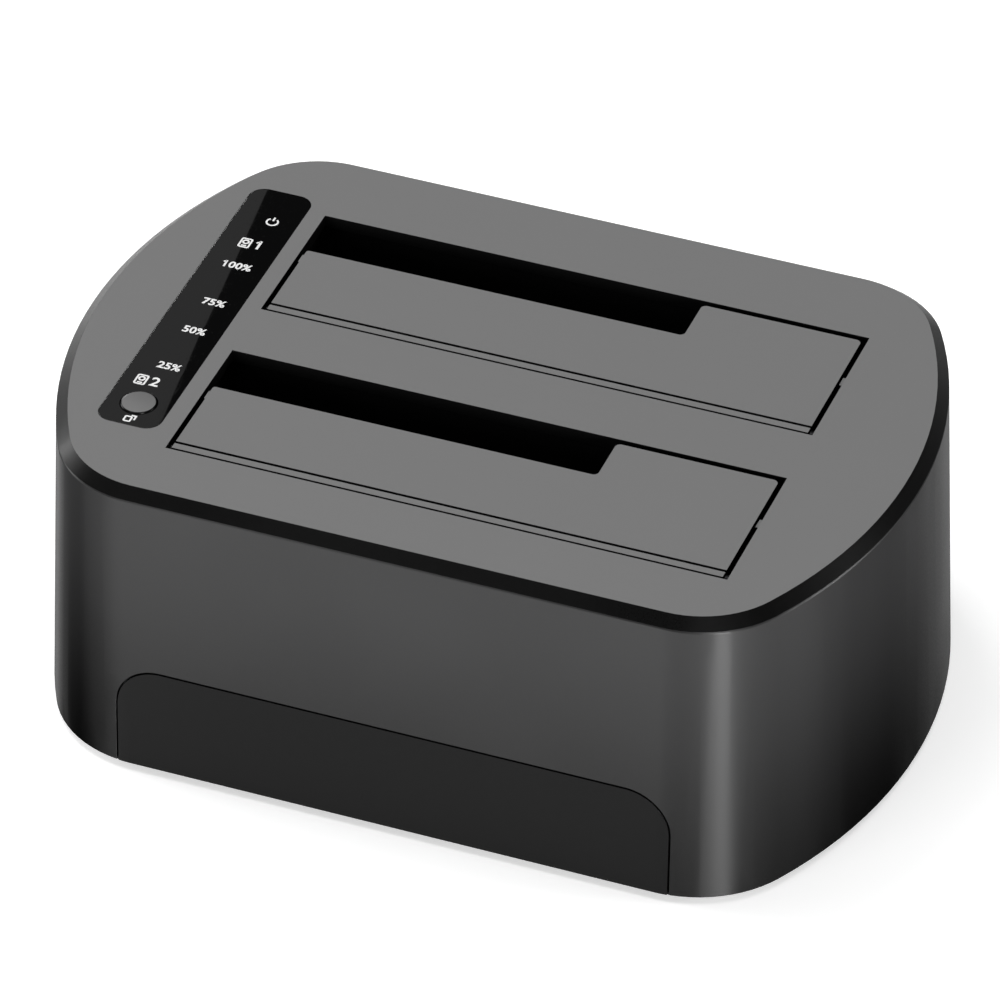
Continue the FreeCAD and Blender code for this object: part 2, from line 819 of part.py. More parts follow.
def sata_centre(name):
    """Plan place of a bay's receptacle, set by a drive against the left and rear walls."""
    left, _, _, rear = bay_box(name)
    side_play = (bay_width - drive_35_width) / 2
    return left + side_play + sata_from_side, rear - drive_play / 2 - sata_from_back


def sata_slots(sx):
    """Low and high X of the signal slot and the power slot."""
    inner_left = sx - (sata_signal_slot + sata_slot_wall + sata_power_slot) / 2
    signal = (inner_left, inner_left + sata_signal_slot)
    power = (signal[1] + sata_slot_wall, signal[1] + sata_slot_wall + sata_power_slot)
    return signal, power


def make_sata_socket(name):
    """Upright 22-way receptacle: two L-shaped slots between two guide towers."""
    sx, sy = sata_centre(name)
    half = sata_length / 2
    z = board_top_z
    top = z + sata_block_height
    tower_top = z + sata_tower_height
    lead_in = sata_lead_in
    side = [
        (V(sx - half, sy - sata_depth / 2, z), 0),
        (V(sx - half, sy + sata_depth / 2, z), 0),
        (V(sx - half, sy + sata_depth / 2, tower_top - lead_in), 0),
        (V(sx - half, sy + sata_depth / 2 - lead_in, tower_top), 0),
        (V(sx - half, sy - sata_depth / 2 + lead_in, tower_top), 0),
        (V(sx - half, sy - sata_depth / 2, tower_top - lead_in), 0),
    ]
    socket = rounded_face(side).extrude(V(sata_length, 0, 0))
    socket = socket.cut(block(sx - half + sata_tower_width, sx + half - sata_tower_width, sy - sata_depth,
                              sy + sata_depth, top, tower_top + overcut))
    leg = sata_slot_leg
    for low, high in sata_slots(sx):
        slot_front = sy - sata_slot_width / 2
        slot_rear = sy + sata_slot_width / 2
        socket = socket.cut(block(low, high, slot_front, slot_rear, top - sata_slot_depth, top + overcut))
        socket = socket.cut(block(high - leg, high, slot_front - leg, slot_front + fuse_lap,
                                  top - sata_slot_depth, top + overcut))
    return socket


def make_sata_contacts(name):
    """The contact springs that stand along the rear side of both slots."""
    sx, sy = sata_centre(name)
    low_z = board_top_z + sata_block_height - sata_slot_depth
    high_z = board_top_z + sata_block_height - contact_short
    y_high = sy + sata_slot_width / 2
    strips = []
    for (low, high), count in zip(sata_slots(sx), (signal_contacts, power_contacts)):
        middle = (low + high) / 2
        for i in range(count):
            x = middle + (i - (count - 1) / 2) * contact_pitch
            strips.append(block(x - contact_width / 2, x + contact_width / 2, y_high - contact_thickness,
                                y_high, low_z, high_z))
    return solids(strips)


def make_flap(name):
    """A flap door: notched plate, hinge barrel, heel groove, ribs and side bump."""
    left, right, front, rear = bay_box(name)
    x_low = left + flap_side_gap
    x_high = right - flap_side_gap
    y_low = front + flap_front_gap
    y_high = rear - flap_back_gap
    notch_x = left + notch_width
    notch_y = rear - notch_depth
    y_axis = hinge_y(name)
    under = overall_height - flap_plate
    corners = [
        (x_low, y_low, 0),
        (x_high, y_low, 0),
        (x_high, y_high, flap_corner),
        (notch_x, y_high, flap_corner),
        (notch_x, notch_y, flap_corner),
        (x_low, notch_y, flap_corner / 2),
    ]
    flap = plan_slab(corners, under, overall_height)
    flap = flap.fuse(rod_x(barrel_radius, x_low, x_high, y_axis, hinge_z))
    rib_y = y_low + flap_rib_reach
    for share in flap_rib_shares:
        x = x_low + (x_high - x_low) * share
        flap = flap.fuse(block(x, x + flap_rib_width, y_axis, rib_y, under - flap_rib_depth,
                               under + fuse_lap))
    edge_rib_y = y_high - edge_rib_inset
    flap = flap.fuse(block(notch_x + edge_rib_margin, x_high - edge_rib_margin, edge_rib_y,
                           edge_rib_y + flap_rib_width, under - flap_rib_depth, under + fuse_lap))
    flap = flap.cut(rod_x(hinge_rod_radius + running_gap, x_low - overcut, x_high + overcut, y_axis, hinge_z))
    groove_y = y_low + heel_strip
    flap = flap.cut(block(x_low - overcut, x_high + overcut, groove_y, groove_y + heel_groove_width,
                          overall_height - heel_groove_depth, overall_height + overcut))
    spring_high = x_high - spring_from_end
    spring_low = spring_high - spring_turns * spring_pitch - 2 * spring_room
    coil_top = hinge_z + spring_coil_radius + spring_wire / 2
    flap = flap.cut(block(spring_low, spring_high, y_low - overcut, y_axis + barrel_radius + spring_slot_room,
                          hinge_z - spring_slot_drop, coil_top + spring_leg_gap * 2))
    bump_y = notch_y - bump_from_notch
    bump = block(x_low - bump_proud, x_low + bump_root, bump_y - bump_length, bump_y, under,
                 overall_height - bump_drop)
    return flap.fuse(bump)


def make_hinge_rod(name):
    """The steel rod a flap turns on, ending in the cover's ears."""
    left, right, _, _ = bay_box(name)
    reach = ear_thickness - hinge_rod_short
    return rod_x(hinge_rod_radius, left - reach, right + reach, hinge_y(name), hinge_z)


def wire_section(centre, side, other):
    """The spring wire's cross-section around a point, as a closed polygon."""
    points = []
    for i in range(spring_facets + 1):
        angle = 2 * math.pi * i / spring_facets
        points.append(centre + (side * math.cos(angle) + other * math.sin(angle)) * (spring_wire / 2))
    return Part.makePolygon(points)


def wire_run(start, stop):
    """A straight run of spring wire between two points."""
    run = stop - start
    side = run.cross(V(1, 0, 0)).normalize()
    other = side.cross(run).normalize()
    return Part.Face(wire_section(start, side, other)).extrude(run)


def make_flap_spring(name):
    """Torsion spring on a hinge rod: one leg under the flap, one against the well's front wall."""
    _, right, front, _ = bay_box(name)
    y = hinge_y(name)
    coil_length = spring_turns * spring_pitch
    start_x = right - flap_side_gap - spring_from_end - spring_room - coil_length
    helix = Part.makeHelix(spring_pitch, coil_length, spring_coil_radius)
    helix.rotate(V(0, 0, 0), V(0, 1, 0), 90)
    helix.translate(V(start_x, y, hinge_z))
    begin = helix.Vertexes[0].Point
    tangent = helix.Edges[0].tangentAt(helix.Edges[0].FirstParameter)
    side = V(1, 0, 0) - tangent * tangent.x
    side.normalize()
    other = tangent.cross(side)
    coil = Part.Wire(helix.Edges).makePipeShell([wire_section(begin, side, other)], True, True)
    end = helix.Vertexes[-1].Point
    leg_room = spring_wire / 2 + spring_leg_gap
    flap_end = V(begin.x, y + spring_leg_reach, overall_height - flap_plate - leg_room)
    wall_end = V(end.x, front - bay_slack + leg_room, hinge_z - spring_leg_drop)
    return coil.fuse(wire_run(begin, flap_end)).fuse(wire_run(end, wall_end))


# ---------------------------------------------------------------- control panel
def make_panel_window():
    """The glossy strip set flush in the cover, with a hole for the clone button."""
    half_width = panel_width / 2 - panel_gap
    half_length = panel_length / 2 - panel_gap
    window = plan_rectangle(panel_x - half_width, panel_x + half_width, panel_centre_y - half_length,
                            panel_centre_y + half_length, panel_corner - panel_gap, window_under_z,
                            overall_height)
    return window.cut(post(button_radius + button_gap, panel_x, button_y, window_under_z - overcut,
                           overall_height + overcut))


def make_clone_button():
    """Round button: crowned cap, retaining flange and stem, as one revolved piece."""
    top = overall_height + button_proud
    flange_top = window_under_z - button_flange_gap
    flange_under = flange_top - button_flange_thickness
    stem_end = plunger_top_z()
    x, y = panel_x, button_y
    profile = [
        (V(x, y, stem_end), 0),
        (V(x + button_stem_radius, y, stem_end), 0),
        (V(x + button_stem_radius, y, flange_under), 0),
        (V(x + button_radius + button_flange, y, flange_under), 0),
        (V(x + button_radius + button_flange, y, flange_top), 0),
        (V(x + button_radius, y, flange_top), 0),
        (V(x + button_radius, y, top - button_crown - button_edge), 0),
        (V(x + button_radius - button_edge, y, top - button_crown), 0),
        (V(x, y, top), 0),
    ]
    return rounded_face(profile).revolve(V(x, y, 0), V(0, 0, 1), 360)


def plunger_top_z():
    """Top of the switch's plunger, where the button's stem rests."""
    return panel_board_top_z + tact_height + button_travel + tact_plunger_proud


def make_tact_switch():
    """Square switch body with a round well for its plunger."""
    half = tact_size / 2
    z = panel_board_top_z
    body = plan_rectangle(panel_x - half, panel_x + half, button_y - half, button_y + half, tact_corner, z,
                          z + tact_height)
    bore = tact_plunger_radius + tact_plunger_gap
    depth = tact_plunger_grip + button_travel + tact_plunger_room
    return body.cut(post(bore, panel_x, button_y, z + tact_height - depth, z + tact_height + overcut))


def make_tact_plunger():
    """The switch's plunger."""
    low = panel_board_top_z + tact_height - tact_plunger_grip
    return post(tact_plunger_radius, panel_x, button_y, low, plunger_top_z())


def make_light_baffle():
    """Opaque block between board and cover, with one cell for each lamp and one for the switch."""
    half = baffle_width / 2
    y_low = button_y - tact_size / 2 - baffle_end_wall
    y_high = panel_centre_y + lamp_places["power"] + lamp_cell_length / 2 + baffle_end_wall
    z_low = panel_board_top_z
    baffle = plan_rectangle(panel_x - half, panel_x + half, y_low, y_high, baffle_corner, z_low,
                            cover_under_z)
    for place in lamp_places.values():
        y = panel_centre_y + place
        baffle = baffle.cut(block(panel_x - lamp_cell_width / 2, panel_x + lamp_cell_width / 2,
                                  y - lamp_cell_length / 2, y + lamp_cell_length / 2, z_low - overcut,
                                  cover_under_z + overcut))
    room = tact_size / 2 + tact_room
    baffle = baffle.cut(block(panel_x - room, panel_x + room, button_y - room, button_y + room,
                              z_low - overcut, cover_under_z - baffle_roof))
    hole = button_radius + button_flange + button_gap
    hole = min(hole, half - baffle_thin_wall)
    return baffle.cut(post(hole, panel_x, button_y, z_low, cover_under_z + overcut))


def make_panel_lamps():
    """One small lamp in each cell of the light block."""
    lamps = []
    for place in lamp_places.values():
        y = panel_centre_y + place
        lamps.append(block(panel_x - lamp_length / 2, panel_x + lamp_length / 2, y - lamp_width / 2,
                           y + lamp_width / 2, panel_board_top_z, panel_board_top_z + lamp_height))
    return solids(lamps)


def make_panel_board():
    """The narrow board under the control panel, with a screw tab at each end."""
    z_low = panel_board_under_z
    z_high = panel_board_top_z
    half = panel_board_width / 2
    half_length = panel_length / 2 - panel_board_short
    board = plan_rectangle(panel_x - half, panel_x + half, panel_centre_y - half_length,
                           panel_centre_y + half_length, panel_board_short, z_low, z_high)
    tab = panel_tab_radius
    for x, y in panel_board_ends():
        toward = 1 if y < panel_centre_y else -1
        inner_y = y + toward * (tab + panel_boss_beyond)
        board_end = panel_centre_y - toward * half_length
        board = board.fuse(block(x - tab, x + tab, min(y, inner_y), max(y, inner_y), z_low, z_high))
        board = board.fuse(block(x - tab, panel_x, min(board_end, inner_y), max(board_end, inner_y), z_low,
                                 z_high))
        board = board.fuse(post(tab, x, y, z_low, z_high))
        board = board.cut(post(panel_boss_pilot + screw_gap, x, y, z_low - overcut, z_high + overcut))
    return board


def make_cable_header(z_low, z_high):
    """A small open-topped connector housing for the board-to-board cable."""
    half_length = header_length / 2
    half_width = header_width / 2
    header = block(panel_x - half_width, panel_x + half_width, panel_centre_y - half_length,
                   panel_centre_y + half_length, z_low, z_high)
    return header


def make_panel_cable():
    """The flat cable between the boards: straight leads and one tangent bow outward."""
    top = panel_board_under_z - panel_header_height
    low = board_top_z + header_height
    angle = math.radians(cable_bow_angle)
    radius = (top - low - 2 * cable_lead) / (4 * math.sin(angle))
    y = panel_centre_y
    x = panel_x
    side = radius * (1 - math.cos(angle))
    rise = radius * math.sin(angle)
    half_side = radius * (1 - math.cos(angle / 2))
    half_rise = radius * math.sin(angle / 2)
    z1 = low + cable_lead
    z2 = z1 + rise
    z3 = z2 + rise
    z4 = z3 + rise
    z5 = z4 + rise
    path = Part.Wire([
        Part.LineSegment(V(x, y, low), V(x, y, z1)).toShape(),
        Part.Arc(V(x, y, z1), V(x - half_side, y, z1 + half_rise), V(x - side, y, z2)).toShape(),
        Part.Arc(V(x - side, y, z2), V(x - 2 * side, y, z3), V(x - side, y, z4)).toShape(),
        Part.Arc(V(x - side, y, z4), V(x - half_side, y, z5 - half_rise), V(x, y, z5)).toShape(),
        Part.LineSegment(V(x, y, z5), V(x, y, top)).toShape(),
    ])
    half_thickness = cable_thickness / 2
    half_width = cable_width / 2
    section = Part.makePolygon([
        V(x - half_thickness, y - half_width, low),
        V(x + half_thickness, y - half_width, low),
        V(x + half_thickness, y + half_width, low),
        V(x - half_thickness, y + half_width, low),
        V(x - half_thickness, y - half_width, low),
    ])
    return path.makePipeShell([section], True, False)


# ---------------------------------------------------------------- main board
def make_main_board():
    """The main circuit board, with a tongue to the rear ports and four screw holes."""
    tongue_y = port_face_y - port_pad - board_tongue_gap
    corners = [
        (-board_left, -board_half_depth, board_corner),
        (board_right, -board_half_depth, board_corner),
        (board_right, board_half_depth, board_corner),
        (board_tongue, board_half_depth, 0),
        (board_tongue, tongue_y, board_tongue_corner),
        (-board_tongue, tongue_y, board_tongue_corner),
        (-board_tongue, board_half_depth, 0),
        (-board_left, board_half_depth, board_corner),
    ]
    board = plan_slab(corners, board_height, board_top_z)
    for x, y in standoff_places:
        board = board.cut(prism(board_screw_radius + screw_gap, x, y, board_height - overcut,
                                board_top_z + overcut))
    return board


def chip(x, y, length, width, height, cut):
    """A flat component body on the main board, with its corners cut by a given amount."""
    return cut_corner_slab(x - length / 2, x + length / 2, y - width / 2, y + width / 2, cut, board_top_z,
                           board_top_z + height)


def make_board_chips():
    """Bridge chip, copy controller, memory and power chips."""
    chips = []
    for bay_name, x, y_offset, length, width, height, cut in chip_places:
        chips.append(chip(x, bay_centres[bay_name] + y_offset, length, width, height, cut))
    return solids(chips)


def make_board_inductors():
    """Two moulded power inductors near the power input."""
    y = port_face_y - port_pad - part_corner_cut - inductor_size
    cans = []
    for x in inductor_xs:
        cans.append(chip(x, y, inductor_size, inductor_size, inductor_height, part_corner_cut))
    return solids(cans)


def make_board_crystals():
    """Two low crystal cans between the wells."""
    cans = []
    for offset in crystal_offsets:
        x = bays_centre_x + offset
        cans.append(chip(x, bays_centre_y, crystal_length, crystal_width, crystal_height, part_corner_cut))
    return solids(cans)


def make_board_capacitors():
    """Upright electrolytic capacitors beside the power input and left of the wells."""
    cans = []
    left_x = capacitor_inset - board_left
    places = [
        (jack_x - capacitor_from_jack, port_face_y - capacitor_from_face),
        (board_tongue - capacitor_inset / 2, port_face_y - capacitor_from_face),
        (left_x, capacitor_spread),
        (left_x, -capacitor_spread),
    ]
    for x, y in places:
        base = chip(x, y, capacitor_base, capacitor_base, capacitor_base_height, capacitor_base_cut)
        can_low = board_top_z + capacitor_base_height - fuse_lap
        can = prism(capacitor_radius, x, y, can_low, board_top_z + capacitor_height, post_sides)
        cans.append(base.fuse(can))
    return solids(cans)


# ---------------------------------------------------------------- rear ports
def usb_section(inset, y):
    """The USB socket's bevelled outline at y, moved inward by inset."""
    half = usb_width / 2 - inset
    low = board_top_z + inset
    high = board_top_z + usb_height - inset
    bevel = usb_bevel
    points = [
        V(-usb_x - half, y, low),
        V(-usb_x + half, y, low),
        V(-usb_x + half, y, high - bevel),
        V(-usb_x + half - bevel, y, high),
        V(-usb_x - half + bevel, y, high),
        V(-usb_x - half, y, high - bevel),
        V(-usb_x - half, y, low),
    ]
    return Part.Face(Part.makePolygon(points))


def make_usb_shell():
    """Folded metal shell of the square USB socket."""
    start = port_face_y - usb_depth
    outer = usb_section(0, start).extrude(V(0, usb_depth, 0))
    inner = usb_section(usb_metal, start + usb_metal).extrude(V(0, usb_depth, 0))
    return outer.cut(inner)


def make_usb_core():
    """Moulded core of the USB socket: rear block and two stacked tongues."""
    start = port_face_y - usb_depth + usb_metal
    block_end = start + usb_block_length
    core = usb_section(usb_metal, start).extrude(V(0, block_end - start, 0))
    middle_z = board_top_z + usb_tongue_level * usb_height
    half = usb_tongue_width / 2
    tongue_end = port_face_y - usb_tongue_back
    tongue = block(-usb_x - half, -usb_x + half, block_end - fuse_lap, tongue_end,
                   middle_z - usb_tongue_height / 2, middle_z + usb_tongue_height / 2)
    upper_z = board_top_z + usb_height - usb_upper_drop
    upper = block(-usb_x - half, -usb_x + half, block_end - fuse_lap, tongue_end, upper_z,
                  upper_z + usb_upper_height)
    return core.fuse(tongue).fuse(upper)


def make_jack_body():
    """Barrel power jack: square body, round nose and bore."""
    nose_length = port_pad + jack_face_gap
    back = port_face_y - nose_length
    z = board_top_z + jack_centre_height
    body = block(jack_x - jack_width / 2, jack_x + jack_width / 2, back - jack_depth, back, board_top_z,
                 board_top_z + jack_height)
    body = body.fuse(rod_y(jack_nose_radius, jack_x, back - fuse_lap, port_face_y, z))
    return body.cut(rod_y(jack_bore_radius, jack_x, port_face_y - jack_bore_depth, port_face_y + overcut, z))


def make_jack_pin():
    """Centre pin of the power jack, with a rounded end."""
    z = board_top_z + jack_centre_height
    start = port_face_y - jack_bore_depth
    profile = rounded_face([
        (V(jack_x, start, z), 0),
        (V(jack_x + jack_pin_radius, start, z), 0),
        (V(jack_x + jack_pin_radius, start + jack_pin_length, z), jack_pin_round),
        (V(jack_x, start + jack_pin_length, z), 0),
    ])
    return profile.revolve(V(jack_x, 0, z), V(0, 1, 0), 360)


def switch_levels():
    """Bezel face Y, rocker pivot Y and centre height of the power switch."""
    face = port_face_y + switch_bezel_thickness
    pivot = face - rocker_throat - rocker_sink
    middle = board_top_z + switch_lift + switch_body_height / 2
    return face, pivot, middle


def make_switch_body():
    """Power switch housing: bezel outside the wall, body inside, cradle for the rocker."""
    face, pivot, middle = switch_levels()
    half_width = switch_bezel_width / 2
    half_height = switch_bezel_height / 2
    bezel = upright_slab([
        (switch_x - half_width, middle - half_height, switch_bezel_corner),
        (switch_x + half_width, middle - half_height, switch_bezel_corner),
        (switch_x + half_width, middle + half_height, switch_bezel_corner),
        (switch_x - half_width, middle + half_height, switch_bezel_corner),
    ], port_face_y, face)
    body = block(switch_x - switch_body_width / 2, switch_x + switch_body_width / 2,
                 port_face_y - switch_body_depth, port_face_y + fuse_lap, middle - switch_body_height / 2,
                 middle + switch_body_height / 2)
    body = body.fuse(bezel)
    room = rocker_radius + rocker_clearance
    half_room = rocker_height / 2 + rocker_clearance
    cradle = post(room, switch_x, pivot, middle - half_room, middle + half_room)
    window = block(switch_x - room, switch_x + room, pivot, face + overcut, middle - half_room,
                   middle + half_room)
    body = body.cut(cradle).cut(window)
    hole_reach = half_room + trunnion_length
    hole = post(trunnion_radius + running_gap, switch_x, pivot, middle - hole_reach, middle + hole_reach)
    return body.cut(hole)


def make_power_rocker():
    """Rocker with a shallow V face and round ends, tipped to its off position."""
    face, pivot, middle = switch_levels()
    low = middle - rocker_height / 2
    high = middle + rocker_height / 2
    drum = post(rocker_radius, switch_x, pivot, low, high)
    rise = rocker_radius * math.tan(math.radians(rocker_tilt))
    far = rocker_radius + overcut
    keep = [
        V(switch_x - far, pivot - rocker_throat, low),
        V(switch_x + far, pivot - rocker_throat, low),
        V(switch_x + far, pivot + rocker_throat + rise * far / rocker_radius, low),
        V(switch_x, pivot + rocker_throat, low),
        V(switch_x - far, pivot + rocker_throat + rise * far / rocker_radius, low),
        V(switch_x - far, pivot - rocker_throat, low),
    ]
    rocker = drum.common(Part.Face(Part.makePolygon(keep)).extrude(V(0, 0, rocker_height)))
    reach = trunnion_length - trunnion_end_gap
    rocker = rocker.fuse(post(trunnion_radius, switch_x, pivot, low - rocker_clearance - reach,
                              high + rocker_clearance + reach))
    rocker.rotate(V(switch_x, pivot, 0), V(0, 0, 1), rocker_tilt)
    return rocker


def make_switch_pins():
    """Flat solder blades from the back of the power switch down to the board."""
    back = port_face_y - switch_body_depth
    _, _, middle = switch_levels()
    pins = []
    half = switch_pin_width / 2
    start = back - switch_pin_reach
    arm_low = middle - switch_pin_drop
    arm_high = arm_low + switch_pin_thickness
    for side in (-1, 1):
        x = switch_x + side * switch_pin_offset
        arm = block(x - half, x + half, start, back, arm_low, arm_high)
        leg = block(x - half, x + half, start, start + switch_pin_thickness, board_top_z, arm_high)
        pins.append(arm.fuse(leg))
    return solids(pins)


# ---------------------------------------------------------------- build every sub-part
save("top_cover", make_top_cover())
save("body_shell", make_body_shell())
save("front_insert", make_front_insert())
save("base_plate", make_base_plate())
save("rubber_feet", make_feet())

head_seat = shell_foot_z + foot_sink + housing_head_height + screw_head_room / 2
shank = collar_top + housing_screw_bite - head_seat
save("housing_screws", solids([
    pan_screw(x, y, head_seat + screw_head_room / 2, housing_screw_radius, shank, housing_head_radius,
              housing_head_height, 1)
    for x, y in screw_places
]))
save("board_screws", solids([
    pan_screw(x, y, board_top_z, board_screw_radius, board_screw_length, board_head_radius,
              board_head_height, -1)
    for x, y in standoff_places
]))

well_screws = []
for bay in bay_centres:
    for tab_x, tab_y, _ in well_tabs(bay):
        seat_z = cover_under_z - well_boss_length - well_tab_thickness
        well_screws.append(pan_screw(tab_x, tab_y, seat_z, well_screw_radius, well_boss_length,
                                     well_head_radius, well_head_height, 1))
    save(bay + "_bay_well", make_bay_well(bay))
    save(bay + "_flap", make_flap(bay))
    save(bay + "_hinge_rod", make_hinge_rod(bay))
    save(bay + "_flap_spring", make_flap_spring(bay))
    save(bay + "_sata_socket", make_sata_socket(bay))
    save(bay + "_sata_contacts", make_sata_contacts(bay))
save("well_screws", solids(well_screws))

save("panel_window", make_panel_window())
save("clone_button", make_clone_button())
save("tact_plunger", make_tact_plunger())
save("tact_switch", make_tact_switch())
save("light_baffle", make_light_baffle())
save("panel_lamps", make_panel_lamps())
save("panel_board", make_panel_board())
save("panel_board_screws", solids([
    pan_screw(x, y, panel_board_under_z, panel_boss_pilot, baffle_height, well_head_radius,
              well_head_height, 1)
    for x, y in panel_board_ends()
]))
save("panel_cable_socket", make_cable_header(panel_board_under_z - panel_header_height, panel_board_under_z))
save("board_cable_socket", make_cable_header(board_top_z, board_top_z + header_height))
save("panel_cable", make_panel_cable())

save("main_board", make_main_board())
save("board_chips", make_board_chips())
save("board_inductors", make_board_inductors())
save("board_crystals", make_board_crystals())
save("board_capacitors", make_board_capacitors())
save("usb_shell", make_usb_shell())
save("usb_core", make_usb_core())
save("jack_body", make_jack_body())
save("jack_pin", make_jack_pin())
save("switch_body", make_switch_body())
save("power_rocker", make_power_rocker())
save("switch_pins", make_switch_pins())
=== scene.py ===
import json
import logging
import math
from collections.abc import Callable, Iterable, Sequence
from dataclasses import dataclass, field
from enum import Enum
from typing import Any

import bmesh
import bpy
from mathutils import Euler, Matrix, Quaternion, Vector

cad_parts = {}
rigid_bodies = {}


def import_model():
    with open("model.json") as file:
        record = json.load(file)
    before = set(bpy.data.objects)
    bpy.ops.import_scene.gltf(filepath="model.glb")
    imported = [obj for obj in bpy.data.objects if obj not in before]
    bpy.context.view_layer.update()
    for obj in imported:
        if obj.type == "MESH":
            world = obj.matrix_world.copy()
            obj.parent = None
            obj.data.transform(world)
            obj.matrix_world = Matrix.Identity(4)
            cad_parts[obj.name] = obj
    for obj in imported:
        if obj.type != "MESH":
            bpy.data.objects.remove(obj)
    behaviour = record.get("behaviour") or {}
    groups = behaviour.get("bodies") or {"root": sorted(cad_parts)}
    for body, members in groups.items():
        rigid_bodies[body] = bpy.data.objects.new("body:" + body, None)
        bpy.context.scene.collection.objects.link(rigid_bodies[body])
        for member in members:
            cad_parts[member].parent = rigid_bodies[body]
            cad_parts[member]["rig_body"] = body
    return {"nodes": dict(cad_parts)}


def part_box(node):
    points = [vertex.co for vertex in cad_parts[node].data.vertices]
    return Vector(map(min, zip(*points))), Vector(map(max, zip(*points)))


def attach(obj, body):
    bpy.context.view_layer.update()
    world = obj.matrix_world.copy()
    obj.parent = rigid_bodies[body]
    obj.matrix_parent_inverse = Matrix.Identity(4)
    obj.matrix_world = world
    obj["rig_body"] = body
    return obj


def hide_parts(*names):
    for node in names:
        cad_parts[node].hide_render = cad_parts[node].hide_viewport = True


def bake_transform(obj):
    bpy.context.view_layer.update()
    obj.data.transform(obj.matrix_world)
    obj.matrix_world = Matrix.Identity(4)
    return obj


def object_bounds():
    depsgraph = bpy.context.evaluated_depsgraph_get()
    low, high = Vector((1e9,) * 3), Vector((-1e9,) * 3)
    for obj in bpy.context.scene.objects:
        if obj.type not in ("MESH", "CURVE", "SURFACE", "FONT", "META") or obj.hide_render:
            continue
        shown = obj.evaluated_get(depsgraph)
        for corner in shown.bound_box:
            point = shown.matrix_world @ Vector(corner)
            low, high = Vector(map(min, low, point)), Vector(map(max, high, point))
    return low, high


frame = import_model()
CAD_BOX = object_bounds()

log = logging.getLogger("drive_dock")
MM = 0.001
QUARTER = math.pi / 2
# Points of a CAD mesh, and of the print, that lie nearer than these are one point.
WELD = 0.002 * MM
PRINT_WELD = 0.0005 * MM
# Faces of a CAD mesh that meet at less than FLAT become one, and edges over SHARP are rounded.
FLAT = math.radians(0.4)
SHARP = math.radians(30.0)
# A face looks up where its normal rises by more than this.
UPWARD = 0.985
WHITE = (1.0, 1.0, 1.0, 1.0)
Colour = tuple[float, float, float]
Point = Sequence[float]
Box = tuple[Vector, Vector]
Mesh = bpy.types.Mesh


class Dock(str, Enum):
    """The CAD bodies that pieces ride on."""

    HOUSING = "dock"
    REAR_DOOR = "rear_door"
    FRONT_DOOR = "front_door"
    CLONE_KEY = "clone_key"
    POWER_KEY = "power_key"


class Side(str, Enum):
    """The two drive bays."""

    REAR = "rear"
    FRONT = "front"

    @property
    def door(self) -> Dock:
        """The body that the bay's flap belongs to."""
        return Dock.REAR_DOOR if self is Side.REAR else Dock.FRONT_DOOR


# ---------------------------------------------------------------- node trees
def math_node(operation: str, turned: bool = False) -> Callable[..., "Value"]:
    """Makes a method that adds a Math node.

    Args:
        operation: The node's operation.
        turned: Whether the other term comes first.

    Returns:
        The method.
    """
    def method(self: "Value", *others: Any) -> "Value":
        """Adds the node, with numbers or Values as its other terms."""
        terms = (*others, self) if turned else (self, *others)
        return self.graph.node("ShaderNodeMath", {"operation": operation}, dict(enumerate(terms)))[0]

    return method


class Value:
    """A socket in a node tree that can be used in sums, with numbers or other sockets on either side."""

    def __init__(self, graph: "Graph", socket: bpy.types.NodeSocket) -> None:
        """Wraps an output socket of a tree."""
        self.graph = graph
        self.socket = socket

    __add__, __radd__ = math_node("ADD"), math_node("ADD", True)
    __sub__, __rsub__ = math_node("SUBTRACT"), math_node("SUBTRACT", True)
    __mul__, __rmul__ = math_node("MULTIPLY"), math_node("MULTIPLY", True)
    __truediv__, __rtruediv__ = math_node("DIVIDE"), math_node("DIVIDE", True)
    __pow__, __rpow__ = math_node("POWER"), math_node("POWER", True)
    fract = math_node("FRACT")
    absolute = math_node("ABSOLUTE")
    least = math_node("MINIMUM")
    most = math_node("MAXIMUM")

    def ramp(self, low: float, high: float, to_low: float = 0.0, to_high: float = 1.0) -> "Value":
        """Maps a range smoothly onto another.

        Args:
            low: Start of the range.
            high: End of the range.
            to_low: Result at the start.
            to_high: Result at the end.

        Returns:
            The mapped value.
        """
        values = {"Value": self, "From Min": low, "From Max": high, "To Min": to_low, "To Max": to_high}
        return self.graph.node("ShaderNodeMapRange", {"interpolation_type": "SMOOTHSTEP"}, values)["Result"]


class Made:
    """A node that has been added, read by the names or numbers of its outputs."""

    def __init__(self, graph: "Graph", node: bpy.types.Node) -> None:
        """Wraps a node of a tree."""
        self.graph = graph
        self.node = node

    def __getitem__(self, key: int | str) -> Value:
        """The output of that name or number."""
        return Value(self.graph, self.node.outputs[key])


